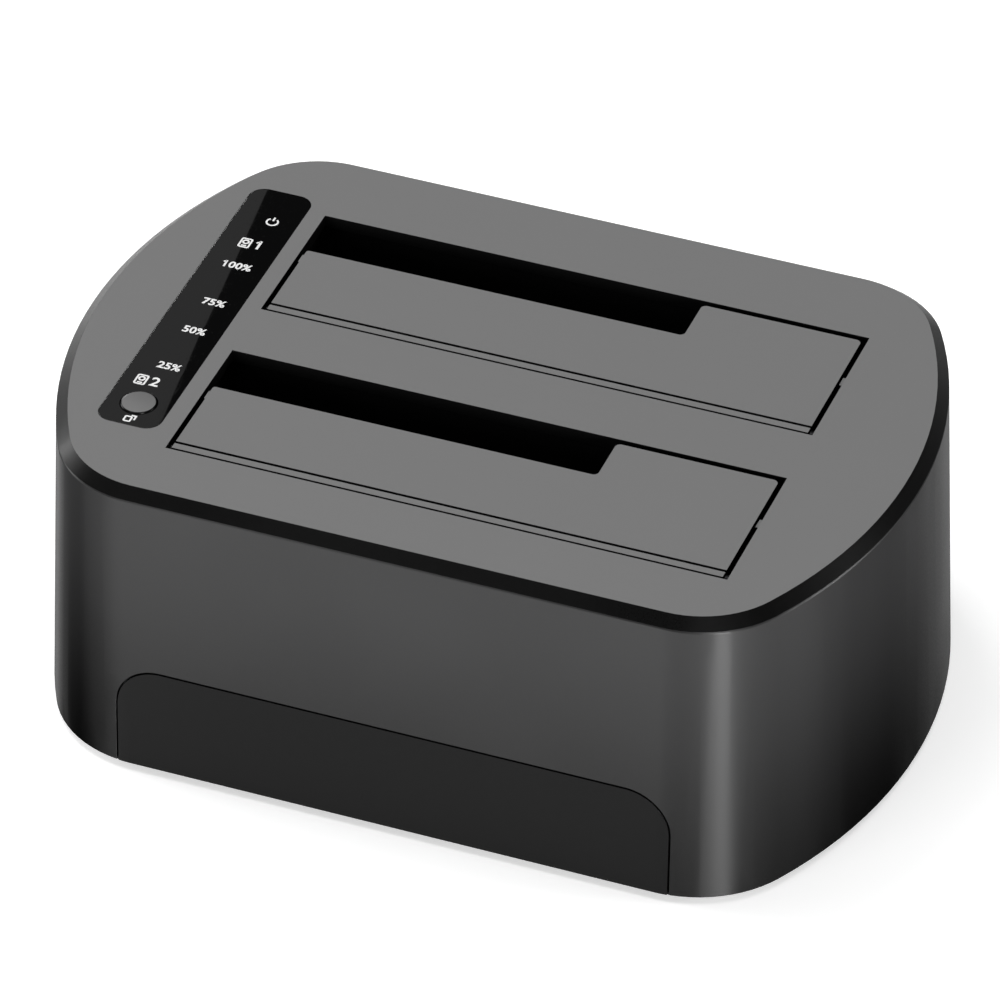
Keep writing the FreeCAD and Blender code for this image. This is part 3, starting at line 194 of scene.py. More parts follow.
class Graph:
    """A node tree under construction, for a material or for geometry."""

    def __init__(self, tree: bpy.types.NodeTree) -> None:
        """Starts on a tree, which is emptied."""
        self.tree = tree
        tree.nodes.clear()

    def node(self, kind: str, settings: dict[str, Any] | None = None,
             values: dict[int | str, Any] | None = None) -> Made:
        """Adds a node, sets what it is, then fills its sockets.

        Args:
            kind: The node's type.
            settings: Properties, set first.
            values: Numbers, vectors, data, Values or a list of Values for its inputs, by name or number.

        Returns:
            The node.
        """
        node = self.tree.nodes.new(kind)
        for key, setting in (settings or {}).items():
            setattr(node, key, setting)
        for key, value in (values or {}).items():
            for term in value if isinstance(value, list) else [value]:
                if isinstance(term, Value):
                    self.tree.links.new(term.socket, node.inputs[key])
                else:
                    node.inputs[key].default_value = term
        return Made(self, node)

    def blend(self, share: Value, first: Value | Colour, second: Value | Colour) -> Value:
        """Mixes two colours.

        Args:
            share: How much of the second, from 0 to 1.
            first: One colour.
            second: The other.

        Returns:
            The mixed colour.
        """
        first, second = (c if isinstance(c, Value) else (*c, 1.0) for c in (first, second))
        return self.node("ShaderNodeMix", {"data_type": "RGBA"}, {"Factor": share, 6: first, 7: second})[2]

    def parts(self, vector: Value) -> tuple[Value, Value, Value]:
        """Splits a vector into its three numbers."""
        split = self.node("ShaderNodeSeparateXYZ", None, {0: vector})
        return split[0], split[1], split[2]

    def place(self) -> Value:
        """Object coordinates, in metres."""
        return self.node("ShaderNodeTexCoord")["Object"]

    def noise(self, scale: float | Point, detail: float = 2.0) -> Value:
        """Noise on the piece's own coordinates.

        Args:
            scale: Cycles in a metre, or in a metre of each axis.
            detail: Octaves.

        Returns:
            A number round 0.5.
        """
        at = self.place()
        if not isinstance(scale, float):
            at = self.node("ShaderNodeMapping", None, {"Vector": at, "Scale": tuple(scale)})[0]
            scale = 1.0
        values = {"Vector": at, "Scale": scale, "Detail": detail}
        return self.node("ShaderNodeTexNoise", {"noise_dimensions": "3D"}, values)["Fac"]

    def bump(self, height: Value, strength: float, depth: float) -> Value:
        """A normal raised by a height.

        Args:
            height: The height, round 0 to 1.
            strength: How much of it shows.
            depth: Its depth, in millimetres.

        Returns:
            The normal.
        """
        values = {"Height": height, "Strength": strength, "Distance": depth * MM}
        return self.node("ShaderNodeBump", None, values)[0]

    def principled(self, colour: Value, roughness: Value | float, **values: Any) -> Made:
        """Adds a Principled shader.

        Args:
            colour: Its base colour.
            roughness: Its roughness.
            values: Other inputs by name, with _ for each space.

        Returns:
            The shader.
        """
        inputs = {"Base Color": colour, "Roughness": roughness}
        inputs.update((name.replace("_", " "), value) for name, value in values.items())
        return self.node("ShaderNodeBsdfPrincipled", None, inputs)

    def shape(self, item: Value) -> Value:
        """The mesh of an object, as it lies in the object."""
        info = self.node("GeometryNodeObjectInfo", {"transform_space": "ORIGINAL"}, {"Object": item})
        return info["Geometry"]

    def copies(self, places: Value, shape: Value, **values: Any) -> Value:
        """Instances of a shape on points, with other inputs by name."""
        inputs = {"Points": places, "Instance": shape, **values}
        return self.node("GeometryNodeInstanceOnPoints", None, inputs)["Instances"]

    def tube(self, line: Value, radius: Value) -> Value:
        """A smooth round tube with closed ends.

        Args:
            line: The curve that it follows.
            radius: Its radius.

        Returns:
            The tube.
        """
        section = self.node("GeometryNodeCurvePrimitiveCircle", {"mode": "RADIUS"}, {
            "Resolution": 10, "Radius": radius})
        tube = self.node("GeometryNodeCurveToMesh", None, {
            "Curve": line, "Profile Curve": section["Curve"], "Fill Caps": True})
        return self.node("GeometryNodeSetShadeSmooth", None, {0: tube["Mesh"], "Shade Smooth": True})[0]


# ---------------------------------------------------------------- finishes
def grey(level: float) -> Colour:
    """A neutral colour."""
    return (level, level, level)


def scaled(colour: Colour, factor: float, lift: float = 0.0) -> Colour:
    """A colour made lighter or darker, then lifted."""
    return tuple(c * factor + lift for c in colour)


@dataclass(frozen=True)
class Finish:
    """A finish that makes its own material.

    Attributes:
        name: Name of the material.
        colour: Base colour, linear.
        roughness: Middle roughness.
    """

    name: str
    colour: Colour
    roughness: float

    def material(self) -> bpy.types.Material:
        """Makes the material once.

        Returns:
            The material.
        """
        made = bpy.data.materials.get(self.name)
        if made:
            return made
        made = bpy.data.materials.new(self.name)
        made.use_nodes = True
        made.diffuse_color = (*self.colour, 1.0)
        graph = Graph(made.node_tree)
        graph.node("ShaderNodeOutputMaterial", None, {"Surface": self.shader(graph)[0]})
        return made

    def shader(self, graph: Graph) -> Made:
        """The nodes of the finish; each kind of finish has its own."""
        raise NotImplementedError


@dataclass(frozen=True)
class Moulding(Finish):
    """Injection-moulded plastic with a spark-eroded grain.

    Attributes:
        grain: Size of the grain, in millimetres.
        depth: Depth of the grain, in millimetres.
        mottle: How far the colour wanders over a few millimetres.
        specular: Strength of the shine at right angles.
        stretch: How far the polish draws the shine out, upwards and downwards.
        painted_foot_shade: Painted shade: how much darker the colour is painted towards the foot than at the
            top, from 0 to 1.
        veil: How much of the shine the grain hides from a low angle, from 0 to 1.
        glance: How much of that shine comes back from the very lowest angles, from 0 to 1.
        veiled: Between which values of Facing, 0 square on and 1 edge on, the shine goes.
        glancing: Between which values of Facing it comes back.
    """

    grain: float = 0.2
    depth: float = 0.01
    mottle: float = 0.04
    specular: float = 0.5
    stretch: float = 0.0
    painted_foot_shade: float = 0.0
    veil: float = 0.0
    glance: float = 0.0
    veiled: tuple[float, float] = (0.22, 0.54)
    glancing: tuple[float, float] = (0.6, 0.95)

    def shader(self, graph: Graph) -> Made:
        """Grain in the normal, a slight cloudiness in colour, handled spots a little smoother, and painted
        shade that darkens the colour towards the foot where it is set.

        Args:
            graph: The material's tree.

        Returns:
            The shader.
        """
        fine = graph.noise(1.0 / (self.grain * MM), 3.0)
        cloud = graph.noise(90.0)
        handled = graph.noise(35.0, 1.0).ramp(0.4, 0.75)
        speck = fine.ramp(0.35, 0.65)
        colour = graph.blend(cloud * 0.6 + speck * 0.4, scaled(self.colour, 1.0 - self.mottle),
                             scaled(self.colour, 1.0 + self.mottle))
        # Painted shade: the colour is darkened by height, towards black at the foot.
        if self.painted_foot_shade:
            rise = graph.parts(graph.place())[2]
            colour = graph.blend(rise.ramp(0.0, CAD_BOX[1][2], self.painted_foot_shade, 0.0), colour, grey(0.0))
        rough = self.roughness + (speck - 0.5) * 0.06 - handled * 0.05
        normal = graph.bump(fine, 0.35, self.depth)
        shine = graph.principled(colour, rough, Normal=normal, Specular_IOR_Level=self.specular,
                                 Anisotropic=self.stretch, Anisotropic_Rotation=0.25)
        if not self.veil:
            return shine
        flat = graph.principled(colour, 0.9, Normal=normal, Specular_IOR_Level=0.0)
        facing = graph.node("ShaderNodeLayerWeight", None, {"Blend": 0.5})["Facing"]
        hidden = facing.ramp(*self.veiled, 0.0, self.veil)
        if self.glance:
            hidden = hidden - facing.ramp(*self.glancing, 0.0, self.veil * self.glance)
        return graph.node("ShaderNodeMixShader", None, {0: hidden, 1: shine[0], 2: flat[0]})


@dataclass(frozen=True)
class Lacquer(Finish):
    """Polished plastic with faint swirl marks and dust.

    Attributes:
        coat: Weight of the clear top layer.
    """

    coat: float = 0.35

    def shader(self, graph: Graph) -> Made:
        """Two sets of hairline scratches, and a little dust that dulls the gloss.

        Args:
            graph: The material's tree.

        Returns:
            The shader.
        """
        along = graph.noise((180.0, 5200.0, 900.0), 3.0)
        across = graph.noise((4800.0, 240.0, 900.0), 3.0)
        hair = (along.ramp(0.62, 0.7) + across.ramp(0.64, 0.72)).least(1.0)
        dust = graph.noise(2600.0, 1.0).ramp(0.7, 0.78)
        colour = graph.blend(dust, self.colour, scaled(self.colour, 1.5, 0.001))
        return graph.principled(colour, self.roughness + hair * 0.02 + dust * 0.1, Coat_Weight=self.coat,
                                Normal=graph.bump(hair, 0.03, 0.001), Coat_Roughness=0.008)


@dataclass(frozen=True)
class Ink(Finish):
    """Pad-printed ink.

    Attributes:
        thinness: How much shows through where the ink is thin, from 0 to 1.
    """

    thinness: float = 0.05

    def shader(self, graph: Graph) -> Made:
        """Ink that is a little thin in places.

        Args:
            graph: The material's tree.

        Returns:
            The shader.
        """
        thin = graph.noise(4200.0).ramp(0.25, 0.5, self.thinness, 0.0)
        colour = graph.blend(thin, self.colour, scaled(self.colour, 0.8))
        return graph.principled(colour, self.roughness + thin * 0.2)


@dataclass(frozen=True)
class Metal(Finish):
    """Plated, drawn or rolled metal.

    Attributes:
        lines: How many cycles a metre the working marks have along X, Y and Z.
        tarnish: Colour of the dull spots.
    """

    lines: tuple[float, float, float] = (400.0, 9000.0, 9000.0)
    tarnish: Colour = (0.3, 0.29, 0.27)

    def shader(self, graph: Graph) -> Made:
        """Working marks in roughness and normal, with dull spots.

        Args:
            graph: The material's tree.

        Returns:
            The shader.
        """
        marks = graph.noise(self.lines, 3.0)
        dull = graph.noise(700.0, 3.0).ramp(0.55, 0.8)
        rough = self.roughness + (marks - 0.5) * 0.18 + dull * 0.15
        return graph.principled(graph.blend(dull * 0.5, self.colour, self.tarnish), rough, Metallic=1.0,
                                Normal=graph.bump(marks, 0.2, 0.003))


@dataclass(frozen=True)
class Rubber(Finish):
    """Soft rubber with pores and picked-up dust."""

    def shader(self, graph: Graph) -> Made:
        """Pores in the normal, and dust that pales the colour.

        Args:
            graph: The material's tree.

        Returns:
            The shader.
        """
        pores = graph.noise(2800.0, 4.0)
        dust = graph.noise(420.0, 4.0).ramp(0.5, 0.8)
        colour = graph.blend(dust * 0.6, self.colour, scaled(self.colour, 1.6, 0.02))
        return graph.principled(colour, self.roughness + dust * 0.1, Normal=graph.bump(pores, 0.5, 0.02),
                                Specular_IOR_Level=0.35)


@dataclass(frozen=True)
class SolderMask(Finish):
    """A circuit board: mask over copper tracks, with bare vias.

    Attributes:
        pitch: Spacing of the track grid, in millimetres.
        track: Half the width of a track, in pitches.
        via: Radius of a via, in pitches.
        drill: Radius of its hole, which is painted near black as painted shade, in pitches.
        pad: Colour of the bare vias.
    """

    pitch: float = 1.9
    track: float = 0.12
    via: float = 0.24
    drill: float = 0.12
    pad: Colour = (0.72, 0.6, 0.35)

    def shader(self, graph: Graph) -> Made:
        """Tracks that follow a grid, wandering from row to row, raised a little under the mask.

        Args:
            graph: The material's tree.

        Returns:
            The shader.
        """
        x, y, _ = graph.parts(graph.place())
        row, column = ((axis / (self.pitch * MM)).fract() - 0.5 for axis in (y, x))
        across, down = ((self.track - line.absolute()).ramp(0.0, 0.03) for line in (row, column))
        region = graph.noise(110.0, 1.0)
        tracks = across * region.ramp(0.5, 0.52) + down * region.ramp(0.5, 0.48)
        ring = (row ** 2.0 + column ** 2.0) ** 0.5
        sparse = graph.noise(330.0, 0.0).ramp(0.58, 0.6)
        via, hole = (ring.ramp(radius, radius - 0.04) * sparse for radius in (self.via, self.drill))
        base = graph.blend(tracks, self.colour, scaled(self.colour, 1.7))
        # Painted shade: each via's hole is painted near black.
        base = graph.blend(hole, graph.blend(via, base, self.pad), grey(0.01))
        return graph.principled(base, self.roughness - via * 0.1, Metallic=via * (1.0 - hole),
                                Normal=graph.bump(tracks + via, 0.5, 0.03))


@dataclass(frozen=True)
class Resin(Finish):
    """Clear or tinted resin of a lamp."""

    def shader(self, graph: Graph) -> Made:
        """A cloudy yellow core that shows through the resin.

        Args:
            graph: The material's tree.

        Returns:
            The shader.
        """
        cloud = graph.noise(1500.0)
        core = (self.colour[0], self.colour[1] * 0.85, self.colour[2] * 0.35)
        return graph.principled(graph.blend(cloud, self.colour, core), self.roughness + cloud * 0.05,
                                Coat_Weight=0.5)


@dataclass(frozen=True)
class Finishes:
    """Every finish on the dock, named after the record's material slots."""

    cover_grey: Finish = Moulding("cover_grey_fine", grey(0.186), 0.62, grain=0.16, depth=0.006, mottle=0.015,
                                  specular=0.25, veil=1.0)
    # The shell's colour carries painted shade: it is darkened towards the foot.
    shell_black: Finish = Moulding("shell_black_satin", (0.02, 0.02, 0.0203), 0.45, grain=0.35, depth=0.003,
                                   mottle=0.03, specular=0.38, stretch=0.9, painted_foot_shade=1.0, veil=0.95, glance=0.6)
    # Partly painted shade: this black, darker than the shell's, is on the cover's chamfer and opening walls
    # and on the button's rim.
    rim_black: Finish = Moulding("rim_black_satin", grey(0.002), 0.35, grain=0.3, depth=0.003, mottle=0.03,
                                 specular=0.09, stretch=0.7)
    insert_black: Finish = Moulding("insert_black_fine", grey(0.002), 0.4, depth=0.006, specular=0.14,
                                    stretch=0.6)
    base_black: Finish = Moulding("base_black_spark", grey(0.03), 0.7, grain=0.5, depth=0.04, mottle=0.08)
    # This black is also on the flaps' edges, where it is painted shade.
    well_black: Finish = Moulding("well_black_fine", grey(0.0025), 0.85, grain=0.3, mottle=0.05,
                                  specular=0.06, veil=1.0)
    button_grey: Finish = Moulding("button_grey_fine", grey(0.16), 0.5, grain=0.16, depth=0.006, mottle=0.02,
                                   specular=0.3, veil=1.0)
    connector_black: Finish = Moulding("connector_black", grey(0.016), 0.55, grain=0.25, depth=0.015,
                                       mottle=0.1)
    chip_black: Finish = Moulding("chip_epoxy", (0.014, 0.014, 0.015), 0.6, grain=0.12, depth=0.012,
                                  mottle=0.15)
    switch_black: Finish = Moulding("switch_black", grey(0.02), 0.6, grain=0.3, depth=0.02, mottle=0.05)
    rocker_black: Finish = Moulding("rocker_black", grey(0.018), 0.3, grain=0.5, depth=0.004)
    baffle_white: Finish = Moulding("baffle_white", (0.7, 0.7, 0.68), 0.6, grain=0.4)
    socket_ivory: Finish = Moulding("socket_nylon", (0.72, 0.66, 0.5), 0.5, grain=0.3)
    usb_core_blue: Finish = Moulding("usb_core_blue", (0.02, 0.09, 0.5), 0.45, grain=0.25)
    cable_grey: Finish = Moulding("cable_vinyl", (0.33, 0.33, 0.34), 0.45, grain=0.3, mottle=0.08)
    panel_gloss: Finish = Lacquer("strip_gloss", (0.0008, 0.0008, 0.0009), 0.008)
    foot_rubber: Finish = Rubber("foot_rubber", grey(0.02), 0.8)
    screw_steel: Finish = Metal("screw_zinc", (0.6, 0.6, 0.62), 0.35, (2200.0,) * 3)
    rod_steel: Finish = Metal("rod_blackened", (0.05, 0.05, 0.052), 0.4, (120.0, 7000.0, 7000.0),
                              (0.03, 0.028, 0.025))
    spring_steel: Finish = Metal("spring_wire", (0.45, 0.45, 0.46), 0.32, (2000.0,) * 3)
    contact_gold: Finish = Metal("contact_gold", (0.86, 0.62, 0.24), 0.25, (5000.0, 5000.0, 600.0),
                                 (0.5, 0.35, 0.15))
    can_steel: Finish = Metal("can_tinned", grey(0.66), 0.3, (500.0, 6000.0, 6000.0))
    can_aluminium: Finish = Metal("can_aluminium", (0.77, 0.77, 0.78), 0.3, (3000.0, 3000.0, 400.0))
    board_green: Finish = SolderMask("board_mask", (0.012, 0.075, 0.03), 0.3)
    lamp_clear: Finish = Resin("lamp_resin", (0.85, 0.82, 0.6), 0.12)
    ink_white: Finish = Ink("ink_white", grey(0.86), 0.5)


FINISH = Finishes()


# ---------------------------------------------------------------- boxes and outlines
def middle(box: Box) -> Vector:
    """Middle of a box."""
    return (box[0] + box[1]) / 2


def size(box: Box) -> tuple[float, float, float]:
    """Width, depth and height of a box, in millimetres."""
    return tuple((high - low) / MM for low, high in zip(*box))


def stands(boxes: Iterable[Box], on_top: bool = False) -> list[Point]:
    """The middle of each box's underside, or of its top, in metres."""
    return [(middle(box).x, middle(box).y, box[1 if on_top else 0].z) for box in boxes]


def arc(x: float, y: float, wide: float, high: float, start: float = 0.0, sweep: float = QUARTER,
        steps: int = 5) -> list[tuple[float, float]]:
    """Points along the arc of an ellipse, with both ends.

    Args:
        x: Middle along the first axis.
        y: Middle along the second.
        wide: Half the ellipse's width.
        high: Half its height.
        start: Angle of the first point.
        sweep: Angle from the first point to the last.
        steps: Pieces in the arc.

    Returns:
        The points.
    """
    turns = [start + sweep * i / steps for i in range(steps + 1)]
    return [(x + wide * math.cos(turn), y + high * math.sin(turn)) for turn in turns]


def rounded(width: float, depth: float, radius: float, x: float = 0.0, y: float = 0.0,
            steps: int = 5) -> list[tuple[float, float]]:
    """Plan points of a rectangle with round corners, anticlockwise.

    Args:
        width: Size along X.
        depth: Size along Y.
        radius: Corner radius.
        x: Middle in X.
        y: Middle in Y.
        steps: Pieces in each corner.

    Returns:
        The points.
    """
    outline = []
    for corner, (right, up) in enumerate(((1, 1), (-1, 1), (-1, -1), (1, -1))):
        outline += arc(x + right * (width / 2 - radius), y + up * (depth / 2 - radius), radius, radius,
                       QUARTER * corner, QUARTER, steps)
    return outline


# ---------------------------------------------------------------- meshes
def linked(data: bpy.types.ID, name: str = "scratch") -> bpy.types.Object:
    """Puts an object in the scene.

    Args:
        data: Its mesh, curve, lamp or camera.
        name: Its name.

    Returns:
        The object.
    """
    item = bpy.data.objects.new(name, data)
    bpy.context.scene.collection.objects.link(item)
    return item


def baked(holder: bpy.types.Object) -> Mesh:
    """Turns an object with its modifiers into a plain mesh and removes the object.

    Args:
        holder: The object.

    Returns:
        The finished mesh.
    """
    bpy.context.view_layer.update()
    done = holder.evaluated_get(bpy.context.evaluated_depsgraph_get())
    mesh = bpy.data.meshes.new_from_object(done)
    old = holder.data
    bpy.data.objects.remove(holder)
    if old.users == 0:
        (bpy.data.meshes if isinstance(old, Mesh) else bpy.data.curves).remove(old)
    return mesh


def welded(node: str) -> bmesh.types.BMesh:
    """Opens a CAD node's mesh for work, with its doubled points joined.

    Args:
        node: Name of the CAD node.

    Returns:
        The mesh under work.
    """
    work = bmesh.new()
    work.from_mesh(frame["nodes"][node].data)
    bmesh.ops.remove_doubles(work, verts=work.verts, dist=WELD)
    return work


def written(work: bmesh.types.BMesh, mesh: Mesh | None = None) -> Mesh:
    """Writes out a mesh under work and closes it.

    Args:
        work: The mesh under work.
        mesh: Where it goes, a new mesh if none.

    Returns:
        The mesh.
    """
    mesh = mesh or bpy.data.meshes.new("part")
    work.to_mesh(mesh)
    work.free()
    return mesh


def node_mesh(node: str, flat_joined: bool = True) -> Mesh:
    """A copy of a CAD node's mesh.

    Args:
        node: Name of the CAD node.
        flat_joined: Whether flat regions become single faces. A plate with many holes is left in triangles.

    Returns:
        A new mesh.
    """
    work = welded(node)
    if flat_joined:
        bmesh.ops.dissolve_limit(work, angle_limit=FLAT, use_dissolve_boundaries=False,
                                 verts=work.verts, edges=work.edges)
    return written(work)


def islands(node: str) -> list[Box]:
    """The boxes of the separate solids in a CAD node.

    Args:
        node: Name of the CAD node.

    Returns:
        Lowest and highest corner of each solid, ordered by X and then Y.
    """
    work = welded(node)
    left = set(work.verts)
    found = []
    while left:
        stack = [left.pop()]
        members = list(stack)
        while stack:
            near = {vert for edge in stack.pop().link_edges for vert in edge.verts} & left
            left -= near
            stack.extend(near)
            members.extend(near)
        found.append(tuple(Vector([pick(vert.co[i] for vert in members) for i in range(3)])
                           for pick in (min, max)))
    work.free()
    return sorted(found, key=lambda box: (round(box[0].x, 4), round(box[0].y, 4)))


def eased(mesh: Mesh, radius: float, segments: int = 2) -> Mesh:
    """Rounds every sharp edge of a mesh and shades it smooth.

    Args:
        mesh: The mesh, which is used up.
        radius: Width of the rounding, in millimetres.
        segments: Faces across the rounding.

    Returns:
        The rounded mesh.
    """
    mesh.shade_smooth()
    holder = linked(mesh)
    rounding = holder.modifiers.new("rounding", "BEVEL")
    rounding.width = radius * MM
    rounding.segments = segments
    rounding.limit_method = "ANGLE"
    rounding.angle_limit = SHARP
    rounding.miter_outer = "MITER_ARC"
    rounding.use_clamp_overlap = True
    weights = holder.modifiers.new("normals", "WEIGHTED_NORMAL")
    weights.keep_sharp = True
    weights.weight = 60
    return baked(holder)


def lathe(profile: Sequence[tuple[float, float]], steps: int,
          wobble: Callable[[float, float], float] = lambda turn, height: 0.0) -> Mesh:
    """Turns a profile round Z into a closed mesh.

    Args:
        profile: Radius and height of each ring, in millimetres, from the lower pole to the upper one.
        steps: Points round each ring.
        wobble: Adds to the radius, from the angle and the height, for a thread.

    Returns:
        The mesh, in metres.
    """
    work = bmesh.new()
    rings: list[list[bmesh.types.BMVert]] = []
    for radius, height in profile:
        ring = []
        for i in range(steps if radius else 1):
            turn = math.tau * i / steps
            reach = (radius + wobble(turn, height)) * MM if radius else 0.0
            ring.append(work.verts.new((reach * math.cos(turn), reach * math.sin(turn), height * MM)))
        rings.append(ring)
    for lower, upper in zip(rings, rings[1:]):
        for i in range(steps):
            j = (i + 1) % steps
            if len(lower) == 1:
                work.faces.new((lower[0], upper[j], upper[i]))
            elif len(upper) == 1:
                work.faces.new((lower[i], lower[j], upper[0]))
            else:
                work.faces.new((lower[i], lower[j], upper[j], upper[i]))
    bmesh.ops.recalc_face_normals(work, faces=work.faces)
    mesh = written(work)
    mesh.shade_smooth()
    return mesh


def loft(rings: Iterable[Iterable[Point]]) -> Mesh:
    """A closed bar through rings of points.

    Args:
        rings: The rings, in millimetres, each anticlockwise as seen from the next one.

    Returns:
        The mesh, in metres.
    """
    work = bmesh.new()
    rows = [[work.verts.new([c * MM for c in point]) for point in ring] for ring in rings]
    work.faces.new(rows[0][::-1])
    work.faces.new(rows[-1])
    for lower, upper in zip(rows, rows[1:]):
        for i, corner in enumerate(lower):
            j = (i + 1) % len(lower)
            work.faces.new((corner, lower[j], upper[j], upper[i]))
    return written(work)


def slab(outline: Sequence[tuple[float, float]], low: float, high: float) -> Mesh:
    """An upright slab with a plan outline, anticlockwise, between two heights, in millimetres."""
    return loft([(x, y, z) for x, y in outline] for z in (low, high))


def placed(mesh: Mesh, move: Point = (0, 0, 0), turn: Point = (0, 0, 0)) -> Mesh:
    """Turns and moves a mesh in place, in radians and metres, and returns it."""
    mesh.transform(Matrix.Translation(Vector(move)) @ Euler(turn).to_matrix().to_4x4())
    return mesh


def joined(meshes: Iterable[Mesh]) -> Mesh:
    """Joins meshes that share a finish into one.

    Args:
        meshes: The meshes, which are used up.

    Returns:
        The joined mesh.
    """
    work = bmesh.new()
    for mesh in list(meshes):
        work.from_mesh(mesh)
        bpy.data.meshes.remove(mesh)
    return written(work)


def cut(mesh: Mesh, tool: Mesh) -> Mesh:
    """Cuts one mesh out of another.

    Args:
        mesh: The mesh to cut, used up.
        tool: The shape taken away, used up.

    Returns:
        What is left.
    """
    holder, cutter = linked(mesh), linked(tool)
    taking = holder.modifiers.new("cut", "BOOLEAN")
    taking.operation = "DIFFERENCE"
    taking.solver = "EXACT"
    taking.object = cutter
    left = baked(holder)
    bpy.data.objects.remove(cutter)
    bpy.data.meshes.remove(tool)
    return left


# ---------------------------------------------------------------- pieces
def put(name: str, mesh: Mesh, slot: str, *stands_for: str, body: Dock = Dock.HOUSING) -> bpy.types.Object:
    """Makes a finished piece from a mesh: dressed, riding on its body, and standing for its CAD nodes.

    Args:
        name: Name of the piece.
        mesh: Its mesh, in the dock's frame.
        slot: Name of its finish, and of the record's material slot where there is one.
        stands_for: CAD nodes that it replaces.
        body: The CAD body it moves with.

    Returns:
        The piece.
    """
    mesh.name = name
    mesh.materials.clear()
    mesh.materials.append(getattr(FINISH, slot).material())
    for polygon in mesh.polygons:
        polygon.material_index = 0
    piece = linked(mesh, name)
    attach(piece, body.value)
    if stands_for:
        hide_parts(*stands_for)
    log.info("%s: %d faces, on %s", name, len(mesh.polygons), body.value)
    return piece


def moulded(node: str, slot: str, edge: float, ending: str = "moulding", body: Dock = Dock.HOUSING,
            flat_joined: bool = True) -> bpy.types.Object:
    """Makes a piece of a CAD node's own shape, with its edges rounded.

    Args:
        node: Name of the CAD node.
        slot: Name of its finish.
        edge: Rounding of its edges, in millimetres.
        ending: End of the piece's name.
        body: The CAD body it moves with.
        flat_joined: Whether flat regions become single faces.

    Returns:
        The piece.
    """
    return put(f"{node}_{ending}", eased(node_mesh(node, flat_joined), edge), slot, node, body=body)


def two_tone_and_painted_shade(piece: bpy.types.Object, top: Finish, rest: Finish, depth: float = 0.3) -> None:
    """Gives the faces that look straight up, near a piece's top, one finish and all others a second, dark
    one, which is partly painted shade.

    Args:
        piece: The piece.
        top: Finish of the faces that look up.
        rest: Finish of the others; on the walls of openings, on edges and on rims it is painted shade.
        depth: How far below the highest point the first may lie, in millimetres.
    """
    mesh = piece.data
    # Painted shade in part: every face that does not look up keeps the dark finish, which stands in for shade
    # on walls, edges and rims.
    mesh.materials[0] = rest.material()
    mesh.materials.append(top.material())
    level = max(vertex.co.z for vertex in mesh.vertices) - depth * MM
    for polygon in mesh.polygons:
        if polygon.normal.z > UPWARD and polygon.center.z > level:
            polygon.material_index = 1


# ---------------------------------------------------------------- geometry trees
@dataclass
class Pattern:
    """A geometry tree with named inputs, built once and then run on any host mesh.

    Attributes:
        name: Name of the tree.
        sockets: Name, type and value of each input besides the geometry.
        tree: The tree.
        keys: Identifier of each input.
    """

    name: str
    sockets: dict[str, tuple[str, Any]]
    tree: bpy.types.NodeTree = field(init=False)
    keys: dict[str, str] = field(init=False, default_factory=dict)

    def __post_init__(self) -> None:
        """Builds the tree: its inputs, the pattern's own nodes, then realized instances with their finish."""
        self.tree = bpy.data.node_groups.new(self.name, "GeometryNodeTree")
        face = self.tree.interface
        face.new_socket("Geometry", in_out="INPUT", socket_type="NodeSocketGeometry")
        for name, (kind, value) in {**self.sockets, "Finish": ("NodeSocketMaterial", None)}.items():
            socket = face.new_socket(name, in_out="INPUT", socket_type=kind)
            if value is not None:
                socket.default_value = value
            self.keys[name] = socket.identifier
        face.new_socket("Geometry", in_out="OUTPUT", socket_type="NodeSocketGeometry")
        graph = Graph(self.tree)
        group = graph.node("NodeGroupInput")
        whole = graph.node("GeometryNodeRealizeInstances", None, {0: self.build(graph, group)})
        dressed = graph.node("GeometryNodeSetMaterial", None, {0: whole[0], "Material": group["Finish"]})
        graph.node("NodeGroupOutput", None, {0: dressed[0]})

    def build(self, graph: Graph, group: Made) -> Value:
        """Adds the pattern's nodes; each pattern has its own."""
        raise NotImplementedError

    def run(self, host: Mesh, finish: Finish, **values: Any) -> Mesh:
        """Runs the tree on a mesh.

        Args:
            host: Mesh that carries the places or the path, used up.
            finish: Finish of the result.
            values: Inputs by name, with _ for each space.

        Returns:
            The result as a plain mesh.
        """
        holder = linked(host)
        modifier = holder.modifiers.new(self.name, "NODES")
        modifier.node_group = self.tree
        modifier[self.keys["Finish"]] = finish.material()
        for name, value in values.items():
            modifier[self.keys[name.replace("_", " ")]] = value
        return baked(holder)

    def repeat(self, shape: Mesh, places: Iterable[Point], finish: Finish, **values: Any) -> Mesh:
        """Runs the tree on loose points, with a shape to repeat.

        Args:
            shape: The shape.
            places: The points, in metres, each with its turn round Z after it where it has one.
            finish: Finish of the result.
            values: Other inputs by name, with _ for each space.

        Returns:
            The result as a plain mesh.
        """
        spots = [(*place, 0.0)[:4] for place in places]
        host = bpy.data.meshes.new("places")
        host.from_pydata([spot[:3] for spot in spots], [], [])
        host.attributes.new("turn", "FLOAT", "POINT").data.foreach_set("value", [spot[3] for spot in spots])
        model = linked(shape)
        made = self.run(host, finish, Shape=model, **values)
        bpy.data.objects.remove(model)
        return made


